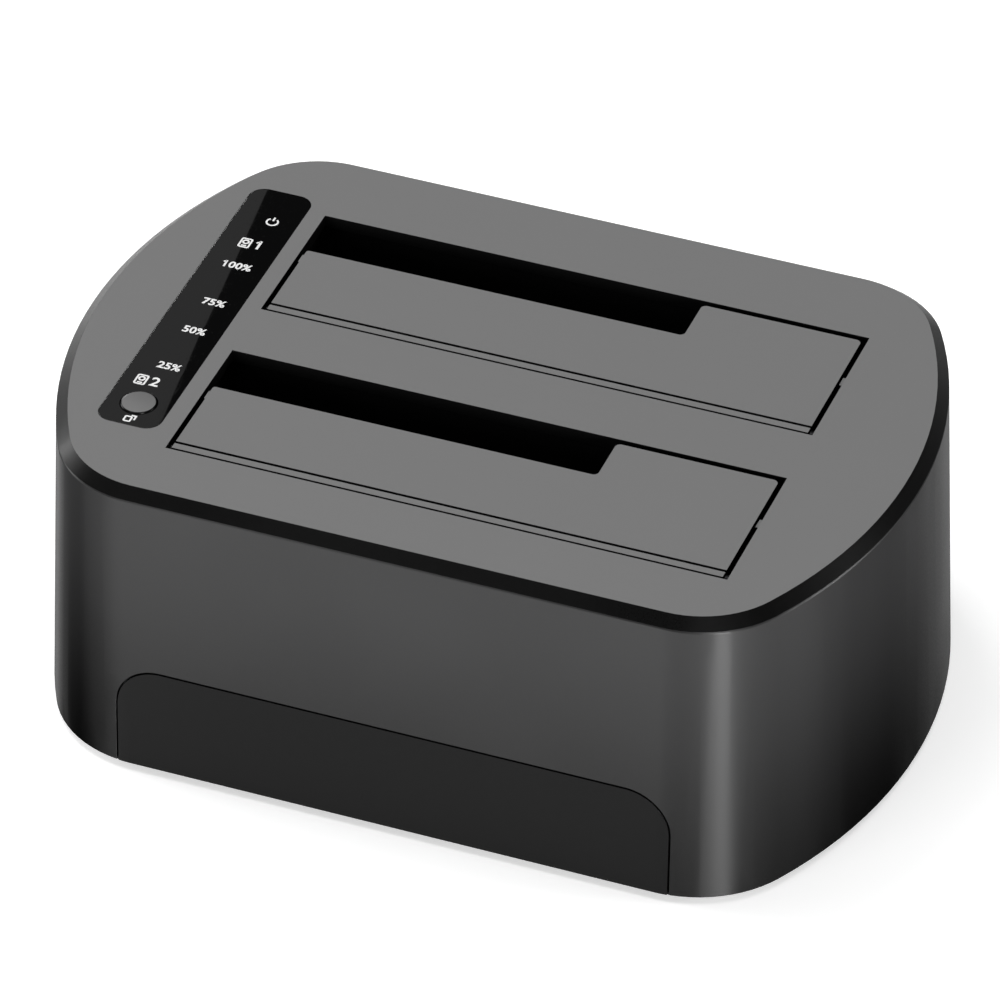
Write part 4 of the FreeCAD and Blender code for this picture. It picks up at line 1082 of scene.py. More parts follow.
class Scattered(Pattern):
    """Copies of a small shape on the host's points, each turned by its own angle and a little at random."""

    def __init__(self) -> None:
        """Names the inputs."""
        super().__init__("scattered", {"Shape": ("NodeSocketObject", None), "Seed": ("NodeSocketInt", 7),
                                       "Loose Turn": ("NodeSocketFloat", 0.0)})

    def build(self, graph: Graph, group: Made) -> Value:
        """Instances on the points, with the turn read from an attribute.

        Args:
            graph: The tree.
            group: Its inputs.

        Returns:
            The instances.
        """
        turn = graph.node("GeometryNodeInputNamedAttribute", {"data_type": "FLOAT"}, {"Name": "turn"})[0]
        loose = graph.node("FunctionNodeRandomValue", {"data_type": "FLOAT"}, {
            2: -1.0, 3: 1.0, "Seed": group["Seed"]})[1]
        rotation = graph.node("ShaderNodeCombineXYZ", None, {"Z": turn + loose * group["Loose Turn"]})
        return graph.copies(group["Geometry"], graph.shape(group["Shape"]), Rotation=rotation[0])


class Row(Pattern):
    """A straight row of a small shape, starting at each point of the host."""

    def __init__(self) -> None:
        """Names the inputs."""
        super().__init__("row", {"Shape": ("NodeSocketObject", None), "Count": ("NodeSocketInt", 4),
                                 "Step": ("NodeSocketVector", (0, 0, 0))})

    def build(self, graph: Graph, group: Made) -> Value:
        """A line of points with the shape on each, repeated on the host's points.

        Args:
            graph: The tree.
            group: Its inputs.

        Returns:
            The instances.
        """
        line = graph.node("GeometryNodeMeshLine", {"mode": "OFFSET"}, {
            "Count": group["Count"], "Offset": group["Step"]})
        return graph.copies(group["Geometry"], graph.copies(line["Mesh"], graph.shape(group["Shape"])))


class Coil(Pattern):
    """A coil of wire along X with a leg at each end; the host's edges are the legs."""

    def __init__(self) -> None:
        """Names the inputs."""
        super().__init__("coil", {
            "Turns": ("NodeSocketFloat", 3.0), "Radius": ("NodeSocketFloat", 0.001),
            "Length": ("NodeSocketFloat", 0.002), "Wire": ("NodeSocketFloat", 0.0002),
            "Start": ("NodeSocketVector", (0, 0, 0))})

    def build(self, graph: Graph, group: Made) -> Value:
        """A spiral laid along X, joined with the legs, swept with a round section.

        Args:
            graph: The tree.
            group: Its inputs.

        Returns:
            The wire.
        """
        spiral = graph.node("GeometryNodeCurveSpiral", None, {
            "Resolution": 24, "Rotations": group["Turns"], "Start Radius": group["Radius"],
            "End Radius": group["Radius"], "Height": group["Length"]})
        lying = graph.node("GeometryNodeTransform", None, {
            "Geometry": spiral["Curve"], "Translation": group["Start"], "Rotation": (0.0, QUARTER, 0.0)})
        legs = graph.node("GeometryNodeMeshToCurve", None, {"Mesh": group["Geometry"]})
        both = graph.node("GeometryNodeJoinGeometry", None, {0: [legs["Curve"], lying["Geometry"]]})
        return graph.tube(both["Geometry"], group["Wire"])


class Ribbon(Pattern):
    """A flat cable of round cores side by side along Y, following the host's line."""

    def __init__(self) -> None:
        """Names the inputs."""
        super().__init__("ribbon", {"Cores": ("NodeSocketInt", 8), "Pitch": ("NodeSocketFloat", 0.001),
                                    "Core Radius": ("NodeSocketFloat", 0.0005)})

    def build(self, graph: Graph, group: Made) -> Value:
        """The line, swept with a round section, on each of a row of points.

        Args:
            graph: The tree.
            group: Its inputs.

        Returns:
            The instances.
        """
        core = graph.node("GeometryNodeMeshToCurve", None, {"Mesh": group["Geometry"]})["Curve"]
        step = graph.node("ShaderNodeCombineXYZ", None, {"Y": group["Pitch"]})
        half = graph.node("ShaderNodeCombineXYZ", None, {"Y": group["Pitch"] * (group["Cores"] - 1.0) * -0.5})
        line = graph.node("GeometryNodeMeshLine", {"mode": "OFFSET"}, {
            "Count": group["Cores"], "Start Location": half[0], "Offset": step[0]})
        return graph.copies(line["Mesh"], graph.tube(core, group["Core Radius"]))


def path(places: Sequence[Point]) -> Mesh:
    """A mesh of points joined in order by edges.

    Args:
        places: The points, in metres.

    Returns:
        The mesh.
    """
    mesh = bpy.data.meshes.new("path")
    mesh.from_pydata(places, [(i, i + 1) for i in range(len(places) - 1)], [])
    return mesh


# ---------------------------------------------------------------- screws
@dataclass
class ScrewSet:
    """Every screw of one kind: pan heads with a cross recess, and rolled threads.

    Attributes:
        node: CAD node of the screws.
        shank: Outer radius of the thread, in millimetres.
        head_height: Height of the heads.
        head_up: Whether the heads are above the shanks.
        pitch: Pitch of the thread.
        thread_depth: Depth of the thread, as a share of its outer radius.
        tip: Length of the plain tip, as a share of the same radius.
        recess: Half length and half width of the recess's arms, as shares of the head's radius.
        recess_depth: Depth of the recess, as a share of the head's height.
        loose: Largest random turn, in radians.
    """

    node: str
    shank: float
    head_height: float
    head_up: bool
    pitch: float = 0.9
    thread_depth: float = 0.28
    tip: float = 0.6
    recess: tuple[float, float] = (0.58, 0.17)
    recess_depth: float = 0.62
    loose: float = 1.2

    def shaft(self, neck: float) -> Mesh:
        """The threaded shank, tip at the origin.

        Args:
            neck: Where the head starts, in millimetres above the tip.

        Returns:
            The mesh.
        """
        rows = max(8, int(neck / self.pitch * 5))
        tip = self.tip * self.shank
        core = self.shank * (1.0 - self.thread_depth / 2)

        def thread(turn: float, height: float) -> float:
            """How far the thread lies from its middle radius at an angle and a height."""
            wave = abs((height / self.pitch - turn / math.tau) % 1.0 - 0.5) * 2.0 - 0.5
            return wave * self.thread_depth * self.shank if tip < height < neck - 0.1 else 0.0

        body = [(core, tip + (neck - tip) * i / rows) for i in range(rows + 1)]
        return lathe([(0.0, 0.0), (self.shank * 0.45, 0.05), *body, (0.0, neck)], 14, thread)

    def head(self, neck: float, radius: float) -> Mesh:
        """The pan head with its recess.

        Args:
            neck: Where the head starts, in millimetres above the tip.
            radius: Radius of the head.

        Returns:
            The mesh.
        """
        top = neck + self.head_height
        crown = arc(radius * 0.62, neck + self.head_height * 0.45, radius * 0.38, self.head_height * 0.5)
        head = lathe([(0.0, neck - 0.02), (radius * 0.94, neck - 0.02), (radius, neck + 0.12), *crown,
                      (0.0, top)], 28)
        arm, thick = (radius * share for share in self.recess)
        floor = top - self.head_height * self.recess_depth
        for turn in (0.0, QUARTER):
            bar = slab(rounded(2 * arm, 2 * thick, thick * 0.4, steps=2), floor, top + 1.0)
            head = cut(head, placed(bar, turn=(0, 0, turn)))
        return head

    def build(self, scattered: Scattered) -> None:
        """Replaces the plain screws of the CAD node.

        Args:
            scattered: The tree that scatters.
        """
        places = islands(self.node)
        width, _, length = size(places[0])
        neck = length - self.head_height
        screw = joined((self.shaft(neck), self.head(neck, width / 2)))
        if not self.head_up:
            screw = placed(screw, turn=(math.pi, 0, 0))
        made = scattered.repeat(screw, stands(places, not self.head_up), FINISH.screw_steel,
                                Loose_Turn=self.loose)
        put(self.node + "_threaded", made, "screw_steel", self.node)


# ---------------------------------------------------------------- housing
@dataclass
class Housing:
    """Top cover, flared shell, front insert and base plate.

    Attributes:
        edge: Rounding of the cover's edges, in millimetres.
        shell_edge: Rounding of the shell's edges.
        insert_edge: Rounding of the front insert's edges.
        seam: Width of the seam round the front insert.
        play: Gap on each side of the tabs that close the seam.
        tab: Where the tabs start and end behind the insert's face, and above its foot.
        foot_rings: Grooves round the face of each foot.
        foot_groove: Their width, their depth and the run of each slope.
        foot_rim: Width of the face outside the ring of the last one.
    """

    edge: float = 0.16
    shell_edge: float = 0.14
    insert_edge: float = 0.06
    seam: float = 0.3
    play: float = 0.03
    tab: tuple[float, float, float, float] = (0.35, 1.3, 0.02, 0.6)
    foot_rings: int = 4
    foot_groove: tuple[float, float, float] = (0.8, 0.16, 0.25)
    foot_rim: float = 1.2

    def build(self, scattered: Scattered) -> None:
        """Builds the housing's outer pieces.

        Args:
            scattered: The tree that scatters.
        """
        # The cover's faces that don't look up are black, partly as painted shade on the walls of its
        # openings.
        two_tone_and_painted_shade(moulded("top_cover", "cover_grey", self.edge), FINISH.cover_grey, FINISH.rim_black)
        moulded("body_shell", "shell_black", self.shell_edge)
        moulded("front_insert", "insert_black", self.insert_edge)
        self.seam_tabs()
        moulded("base_plate", "base_black", self.shell_edge, flat_joined=False)
        self.feet(scattered)
        for screws in (
            ScrewSet("housing_screws", 1.45, 2.0, False),
            ScrewSet("board_screws", 1.2, 1.5, True),
            ScrewSet("well_screws", 1.1, 1.4, False),
            ScrewSet("panel_board_screws", 0.8, 1.4, False),
        ):
            screws.build(scattered)

    def seam_tabs(self) -> None:
        """Closes the lower end of the seam on either side of the front insert."""
        low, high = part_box("front_insert")
        front, back = (low.y / MM + inward for inward in self.tab[:2])
        foot, head = (low.z / MM + above for above in self.tab[2:])
        tabs = []
        for left in (low.x / MM - self.seam + self.play, high.x / MM + self.play):
            right = left + self.seam - 2 * self.play
            tabs.append(slab(((left, front), (right, front), (right, back), (left, back)), foot, head))
        put("front_insert_seam_tabs", joined(tabs), "insert_black")

    def feet(self, scattered: Scattered) -> None:
        """Turns the rubber feet, with grooves round the face that they stand on.

        Args:
            scattered: The tree that scatters.
        """
        places = islands("rubber_feet")
        width, _, height = size(places[0])
        radius, (wide, deep, slope) = width / 2, self.foot_groove
        profile = [(0.0, 0.0)]
        for i in range(self.foot_rings):
            out = (radius - self.foot_rim) * (i + 0.5) / self.foot_rings
            profile += [(out, 0.0), (out + slope, deep), (out + wide - slope, deep), (out + wide, 0.0)]
        profile += [(radius - 0.55, 0.0), (radius - 0.2, 0.12), (radius, 0.5), (radius, height - 0.1),
                    (0.0, height)]
        made = scattered.repeat(lathe(profile, 40), stands(places), FINISH.foot_rubber)
        put("rubber_feet_ringed", made, "foot_rubber", "rubber_feet")


# ---------------------------------------------------------------- drive bays
@dataclass
class DriveBay:
    """One bay: well, flap door, hinge rod, torsion spring and receptacle.

    Attributes:
        side: Which bay.
        flap_edge: Rounding of the flap's edges, in millimetres.
        well_edge: Rounding of the well's edges.
        socket_edge: Rounding of the receptacle's edges.
        rod_bevel: Bevel at the rod's ends.
        spring_turns: Turns of the torsion spring.
        spring_radius: Middle radius of its coil.
        spring_wire: Radius of its wire.
        contact_pitch: Pitch of the receptacle's contacts.
        contacts_in: Contacts in the short and in the long slot.
        contact_bow: How far a contact is bowed at its middle, and near its tip.
    """

    side: Side
    flap_edge: float = 0.12
    well_edge: float = 0.25
    socket_edge: float = 0.1
    rod_bevel: float = 0.15
    spring_turns: float = 4.0
    spring_radius: float = 1.0
    spring_wire: float = 0.15
    contact_pitch: float = 1.27
    contacts_in: tuple[int, int] = (7, 15)
    contact_bow: tuple[float, float] = (0.25, 0.12)

    def build(self, row: Row, coil: Coil) -> None:
        """Builds the bay's pieces.

        Args:
            row: The tree that lays rows.
            coil: The tree that winds springs.
        """
        name = self.side.value
        moulded(name + "_bay_well", "well_black", self.well_edge)
        flap = moulded(name + "_flap", "cover_grey", self.flap_edge, body=self.side.door)
        # The flap's edges are painted near black as painted shade.
        two_tone_and_painted_shade(flap, FINISH.cover_grey, FINISH.well_black)
        socket = name + "_sata_socket"
        put(name + "_receptacle", eased(node_mesh(socket), self.socket_edge), "connector_black", socket)
        self.rod()
        self.spring(coil)
        self.contacts(row)

    def rod(self) -> None:
        """Turns the hinge rod, with bevelled ends."""
        node = self.side.value + "_hinge_rod"
        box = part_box(node)
        length, _, width = size(box)
        radius, bevel = width / 2, self.rod_bevel
        profile = [(0.0, 0.0), (radius - bevel, 0.0), (radius, bevel), (radius, length - bevel),
                   (radius - bevel, length), (0.0, length)]
        centre = middle(box)
        put(node + "_drawn", placed(lathe(profile, 28), (box[0].x, centre.y, centre.z), (0, QUARTER, 0)),
            "rod_steel", node)

    def spring(self, coil: Coil) -> None:
        """Winds the torsion spring, whose one leg follows the flap.

        Args:
            coil: The tree that winds springs.
        """
        name = self.side.value
        node = name + "_flap_spring"
        low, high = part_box(node)
        rod = middle(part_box(name + "_hinge_rod"))
        wire, radius = self.spring_wire * MM, self.spring_radius * MM
        start, end = low.x + wire, high.x - wire
        flap_leg = [(start, rod.y, rod.z - radius), (start, high.y - wire, rod.z - 0.1 * MM)]
        wall_leg = [(end, rod.y, rod.z - radius), (end, low.y + wire, low.z + wire)]
        mesh = coil.run(joined((path(flap_leg), path(wall_leg))), FINISH.spring_steel, Radius=radius,
                        Turns=self.spring_turns, Length=end - start, Wire=wire, Start=(start, rod.y, rod.z))
        piece = put(node + "_wound", mesh, "spring_steel", node)
        piece.parent = None
        del piece["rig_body"]
        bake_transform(piece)

    def contacts(self, row: Row) -> None:
        """Lays the gold springs in both slots of the receptacle.

        Args:
            row: The tree that lays rows.
        """
        node = self.side.value + "_sata_contacts"
        boxes = islands(node)
        width, thick, height = size(boxes[0])
        half, (bow, tip) = width / 2, self.contact_bow
        bowed = ((0.0, 0.0), (0.0, 0.7), (-bow, height * 0.55), (-tip, height * 0.85), (0.0, height))
        shape = loft([(-half, out, z), (half, out, z), (half, out + thick, z), (-half, out + thick, z)]
                     for out, z in bowed)
        rows = []
        for count, (low, high) in zip(self.contacts_in, (boxes[0], boxes[self.contacts_in[0]])):
            start = (middle((low, high)).x, low.y, low.z)
            rows.append(row.repeat(shape, [start], FINISH.contact_gold, Count=count,
                                   Step=(self.contact_pitch * MM, 0.0, 0.0)))
        put(node + "_bowed", joined(rows), "contact_gold", node)


# ---------------------------------------------------------------- control strip
class Icon(Enum):
    """Generic marks printed on the strip."""

    POWER = "power"
    DRIVE = "drive"
    COPY = "copy"


@dataclass
class Mark:
    """One printed mark.

    Attributes:
        along: Distance from the strip's middle towards the rear, in millimetres.
        across: Distance from the strip's middle to the right.
        sign: Numbers or an icon to print.
        size: Height of the figures or of the icon.
    """

    along: float
    across: float
    sign: str | Icon
    size: float = 1.9


@dataclass
class ControlStrip:
    """The gloss strip with its printed marks, the copy button and what lies under them.

    Attributes:
        ink_height: Thickness of the print, in millimetres.
        ink_gap: Gap under the print.
        line: Width of the icons' lines.
        window_edge: Rounding of the strip's edges.
        case_edge: Rounding of the parts under it.
        marks: What is printed.
        font_size: Size of the type, for figures of height one.
        bold: How far the figures are thickened.
        flange: Width and thickness of the flange round the button's cap.
        flange_gap: Gap between the flange and the strip.
        stem: Radius of the button's stem.
        bevel: Bevel on the button's flange and stem.
        cap_edge: Width and height of the rounding round the cap.
        crown: How far the button's cap rises to its middle.
        stem_edge: Bevel at the plunger's foot, and at its top.
    """

    ink_height: float = 0.015
    ink_gap: float = 0.004
    line: float = 0.34
    window_edge: float = 0.04
    case_edge: float = 0.1
    marks: tuple[Mark, ...] = (
        Mark(28.2, 1.2, Icon.POWER, 2.6),
        Mark(20.4, -0.9, Icon.DRIVE, 2.6),
        Mark(20.4, 1.7, "1", 2.6),
        Mark(13.25, 0.35, "100%"),
        Mark(1.45, 0.8, "75%"),
        Mark(-7.55, 0.8, "50%"),
        Mark(-19.0, 0.8, "25%"),
        Mark(-24.2, -2.3, Icon.DRIVE, 2.6),
        Mark(-24.2, 0.3, "2", 2.6),
        Mark(-35.4, 0.25, Icon.COPY),
    )
    font_size: float = 1.37
    bold: float = 0.06
    flange: tuple[float, float] = (0.9, 0.7)
    flange_gap: float = 0.1
    stem: float = 1.6
    bevel: float = 0.1
    cap_edge: tuple[float, float] = (0.3, 0.25)
    crown: float = 0.25
    stem_edge: tuple[float, float] = (0.1, 0.25)

    def build(self, scattered: Scattered) -> None:
        """Builds the strip's pieces.

        Args:
            scattered: The tree that scatters.
        """
        moulded("panel_window", "panel_gloss", self.window_edge, "gloss")
        moulded("light_baffle", "baffle_white", self.case_edge)
        moulded("tact_switch", "connector_black", self.case_edge, "case")
        self.print_marks()
        self.button()
        self.plunger()
        self.lamps(scattered)

    def figures(self, words: str, height: float) -> Mesh:
        """Flat numbers, centred on the origin.

        Args:
            words: The numbers.
            height: Height of the figures, in millimetres.

        Returns:
            The mesh.
        """
        curve = bpy.data.curves.new("figures", "FONT")
        curve.body = words
        curve.align_x = "CENTER"
        curve.align_y = "CENTER"
        curve.size = height * self.font_size * MM
        curve.extrude = self.ink_height / 2 * MM
        curve.offset = self.bold * MM
        curve.resolution_u = 3
        flat = baked(linked(curve))
        if not words.startswith("1"):
            return flat
        left = min(vertex.co.x for vertex in flat.vertices) / MM
        top = max(vertex.co.y for vertex in flat.vertices) / MM
        flag = ((left - height * 0.17, top - height * 0.3), (left + height * 0.06, top - height * 0.09))
        return joined((flat, self.stroke(flag)))

    def stroke(self, places: Sequence[tuple[float, float]], closed: bool = False) -> Mesh:
        """A flat line through points, with mitred joints.

        Args:
            places: The points, in millimetres.
            closed: Whether the last joins the first.

        Returns:
            The mesh.
        """
        count = len(places)
        inner: list[tuple[float, float]] = []
        outer: list[tuple[float, float]] = []
        for i, (x, y) in enumerate(places):
            before = places[i - 1] if closed or i else places[i]
            after = places[(i + 1) % count] if closed or i < count - 1 else places[i]
            first = Vector((x - before[0], y - before[1])).normalized()
            last = Vector((after[0] - x, after[1] - y)).normalized()
            way = (first + last).normalized()
            normal = Vector((-way.y, way.x))
            flat = Vector((-last.y, last.x)) if last.length else Vector((-first.y, first.x))
            reach = self.line / 2 / max(0.4, normal.dot(flat))
            inner.append((x + normal.x * reach, y + normal.y * reach))
            outer.append((x - normal.x * reach, y - normal.y * reach))
        half = self.ink_height / 2
        pairs = [(i, (i + 1) % count) for i in range(count if closed else count - 1)]
        whole = joined(slab((outer[i], outer[j], inner[j], inner[i]), -half, half) for i, j in pairs)
        work = bmesh.new()
        work.from_mesh(whole)
        bmesh.ops.remove_doubles(work, verts=work.verts, dist=PRINT_WELD)
        shared = [face for face in work.faces if abs(face.normal.z) < 0.5
                  and all(len(edge.link_faces) > 2 for edge in face.edges)]
        bmesh.ops.delete(work, geom=shared, context="FACES_ONLY")
        return written(work, whole)

    def drawn(self, icon: Icon, tall: float) -> Mesh:
        """An icon, centred on the origin.

        Args:
            icon: Which.
            tall: Its height, in millimetres.

        Returns:
            The mesh.
        """
        if icon is Icon.POWER:
            half, gap = tall / 2, math.radians(38)
            ring = arc(0.0, -0.1 * half, 0.8 * half, 0.8 * half, QUARTER + gap, math.tau - 2 * gap, 22)
            return joined((self.stroke(ring), self.stroke(((0.0, 0.15 * half), (0.0, half)))))
        if icon is Icon.DRIVE:
            case = rounded(tall * 0.72, tall, 0.25, steps=2)
            disc = arc(0.0, tall * 0.12, tall * 0.2, tall * 0.2, 0.0, math.tau, 14)[:-1]
            foot = ((-tall * 0.18, -tall * 0.32), (tall * 0.18, -tall * 0.32))
            return joined((self.stroke(case, True), self.stroke(disc, True), self.stroke(foot)))
        sheet = rounded(tall * 0.62, tall * 0.72, 0.2, -tall * 0.16, -tall * 0.12, steps=2)
        back = ((0.0, tall * 0.45), (tall * 0.46, tall * 0.45), (tall * 0.46, -tall * 0.16))
        return joined((self.stroke(sheet, True), self.stroke(back)))

    def print_marks(self) -> None:
        """Prints the marks on the strip."""
        low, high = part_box("panel_window")
        centre = middle((low, high))
        level = high.z + (self.ink_height / 2 + self.ink_gap) * MM
        printed = []
        for mark in self.marks:
            make = self.drawn if isinstance(mark.sign, Icon) else self.figures
            printed.append(placed(make(mark.sign, mark.size),
                                  (centre.x + mark.across * MM, centre.y + mark.along * MM, level)))
        put("strip_print", joined(printed), "ink_white")

    def button(self) -> None:
        """Turns the copy button, with a flange under its crowned cap."""
        node = "clone_button"
        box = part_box(node)
        width, _, height = size(box)
        rim, stem, bevel = width / 2, self.stem, self.bevel
        flat, fall = self.cap_edge
        cap = rim - self.flange[0]
        shoulder = (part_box("panel_window")[0].z - box[0].z) / MM - self.flange_gap
        under = shoulder - self.flange[1]
        top = height - self.crown
        profile = [(0.0, 0.0), (stem - bevel, 0.0), (stem, bevel), (stem, under), (rim - bevel, under),
                   (rim, under + bevel), (rim, shoulder - bevel), (rim - bevel, shoulder), (cap, shoulder),
                   *arc(cap - flat, top - fall, flat, fall)]
        steps = 6
        for share in (i / steps for i in range(1, steps)):
            profile.append(((cap - flat) * (1 - share), top + self.crown * math.sin(share * QUARTER)))
        profile.append((0.0, height))
        mesh = placed(lathe(profile, 64), stands([box])[0])
        key = put("clone_button_crowned", mesh, "button_grey", node, body=Dock.CLONE_KEY)
        # The button's rim is painted black as painted shade.
        two_tone_and_painted_shade(key, FINISH.button_grey, FINISH.rim_black, depth=0.4)

    def plunger(self) -> None:
        """Turns the switch's plunger under the button."""
        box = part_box("tact_plunger")
        width, _, height = size(box)
        radius, (foot, top) = width / 2, self.stem_edge
        turned = lathe([(0.0, 0.0), (radius - foot, 0.0), (radius, foot), (radius, height - top),
                        (radius - top, height), (0.0, height)], 32)
        centre = middle(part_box("clone_button"))
        put("tact_plunger_turned", placed(turned, (centre.x, centre.y, box[0].z)), "connector_black",
            "tact_plunger", body=Dock.CLONE_KEY)

    def lamps(self, scattered: Scattered) -> None:
        """Sets a small lamp in each cell: a stepped case with a domed top.

        Args:
            scattered: The tree that scatters.
        """
        boxes = islands("panel_lamps")
        width, depth, height = size(boxes[0])
        case = eased(slab(rounded(width, depth, 0.1, steps=2), 0.0, height * 0.55), 0.05)
        dome = eased(slab(rounded(width * 0.62, depth * 0.94, 0.2, steps=3), height * 0.5, height), 0.18, 3)
        made = scattered.repeat(joined((case, dome)), stands(boxes), FINISH.lamp_clear)
        put("panel_lamps_domed", made, "lamp_clear", "panel_lamps")


# ---------------------------------------------------------------- rear ports
@dataclass
class RearPorts:
    """USB socket, barrel power jack and rocker switch.

    Attributes:
        metal_edge: Rounding of folded metal, in millimetres.
        rocker_edge: Rounding of the rocker's edges.
        usb_contacts: Contacts on the lower and the upper tongue.
        usb_pitch: Their pitch.
        usb_length: Length of each contact.
        usb_thick: Its thickness.
        usb_inset: How far its middle lies within the tongue's outer end.
    """

    metal_edge: float = 0.15
    rocker_edge: float = 0.3
    usb_contacts: tuple[int, int] = (2, 5)
    usb_pitch: tuple[float, float] = (2.5, 1.0)
    usb_length: float = 5.0
    usb_thick: float = 0.12
    usb_inset: float = 3.2

    def build(self, row: Row) -> None:
        """Builds the ports.

        Args:
            row: The tree that lays rows.
        """
        for node, slot, edge in (
            ("usb_shell", "can_steel", self.metal_edge),
            ("usb_core", "usb_core_blue", self.metal_edge),
            ("jack_body", "connector_black", 0.2),
            ("switch_body", "switch_black", 0.25),
            ("switch_pins", "contact_gold", 0.08),
        ):
            moulded(node, slot, edge, "detail")
        put("power_rocker_smooth", eased(node_mesh("power_rocker"), self.rocker_edge, 3), "rocker_black",
            "power_rocker", body=Dock.POWER_KEY)
        self.pin()
        self.usb_springs(row)

    def pin(self) -> None:
        """Turns the jack's centre pin: a tube with a groove and a rounded nose."""
        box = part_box("jack_pin")
        _, length, width = size(box)
        radius, groove = width / 2, 0.06
        nose = arc(radius * 0.55, length - radius * 0.6, radius * 0.45, radius * 0.6)
        profile = [(0.0, 0.0), (radius, 0.0), (radius, length * 0.7), (radius - groove, length * 0.72),
                   (radius - groove, length * 0.76), (radius, length * 0.78), *nose, (0.0, length)]
        centre = middle(box)
        mesh = placed(lathe(profile, 28), (centre.x, box[0].y, centre.z), (-QUARTER, 0, 0))
        put("jack_pin_turned", mesh, "contact_gold", "jack_pin")

    def usb_springs(self, row: Row) -> None:
        """Lays the gold contacts along the two tongues of the USB socket.

        Args:
            row: The tree that lays rows.
        """
        low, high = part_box("usb_shell")
        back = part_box("usb_core")[1].y - self.usb_inset * MM
        levels = (low.z + 0.45 * (high.z - low.z) + 1.6 * MM, high.z - (2.9 + self.usb_thick) * MM)
        rows = []
        for count, pitch, level in zip(self.usb_contacts, self.usb_pitch, levels):
            shape = eased(slab(rounded(0.5, self.usb_length, 0.1, steps=1), 0.0, self.usb_thick), 0.03)
            start = (middle((low, high)).x - pitch * MM * (count - 1) / 2, back, level)
            rows.append(row.repeat(shape, [start], FINISH.contact_gold, Count=count,
                                   Step=(pitch * MM, 0.0, 0.0)))
        put("usb_contact_springs", joined(rows), "contact_gold")


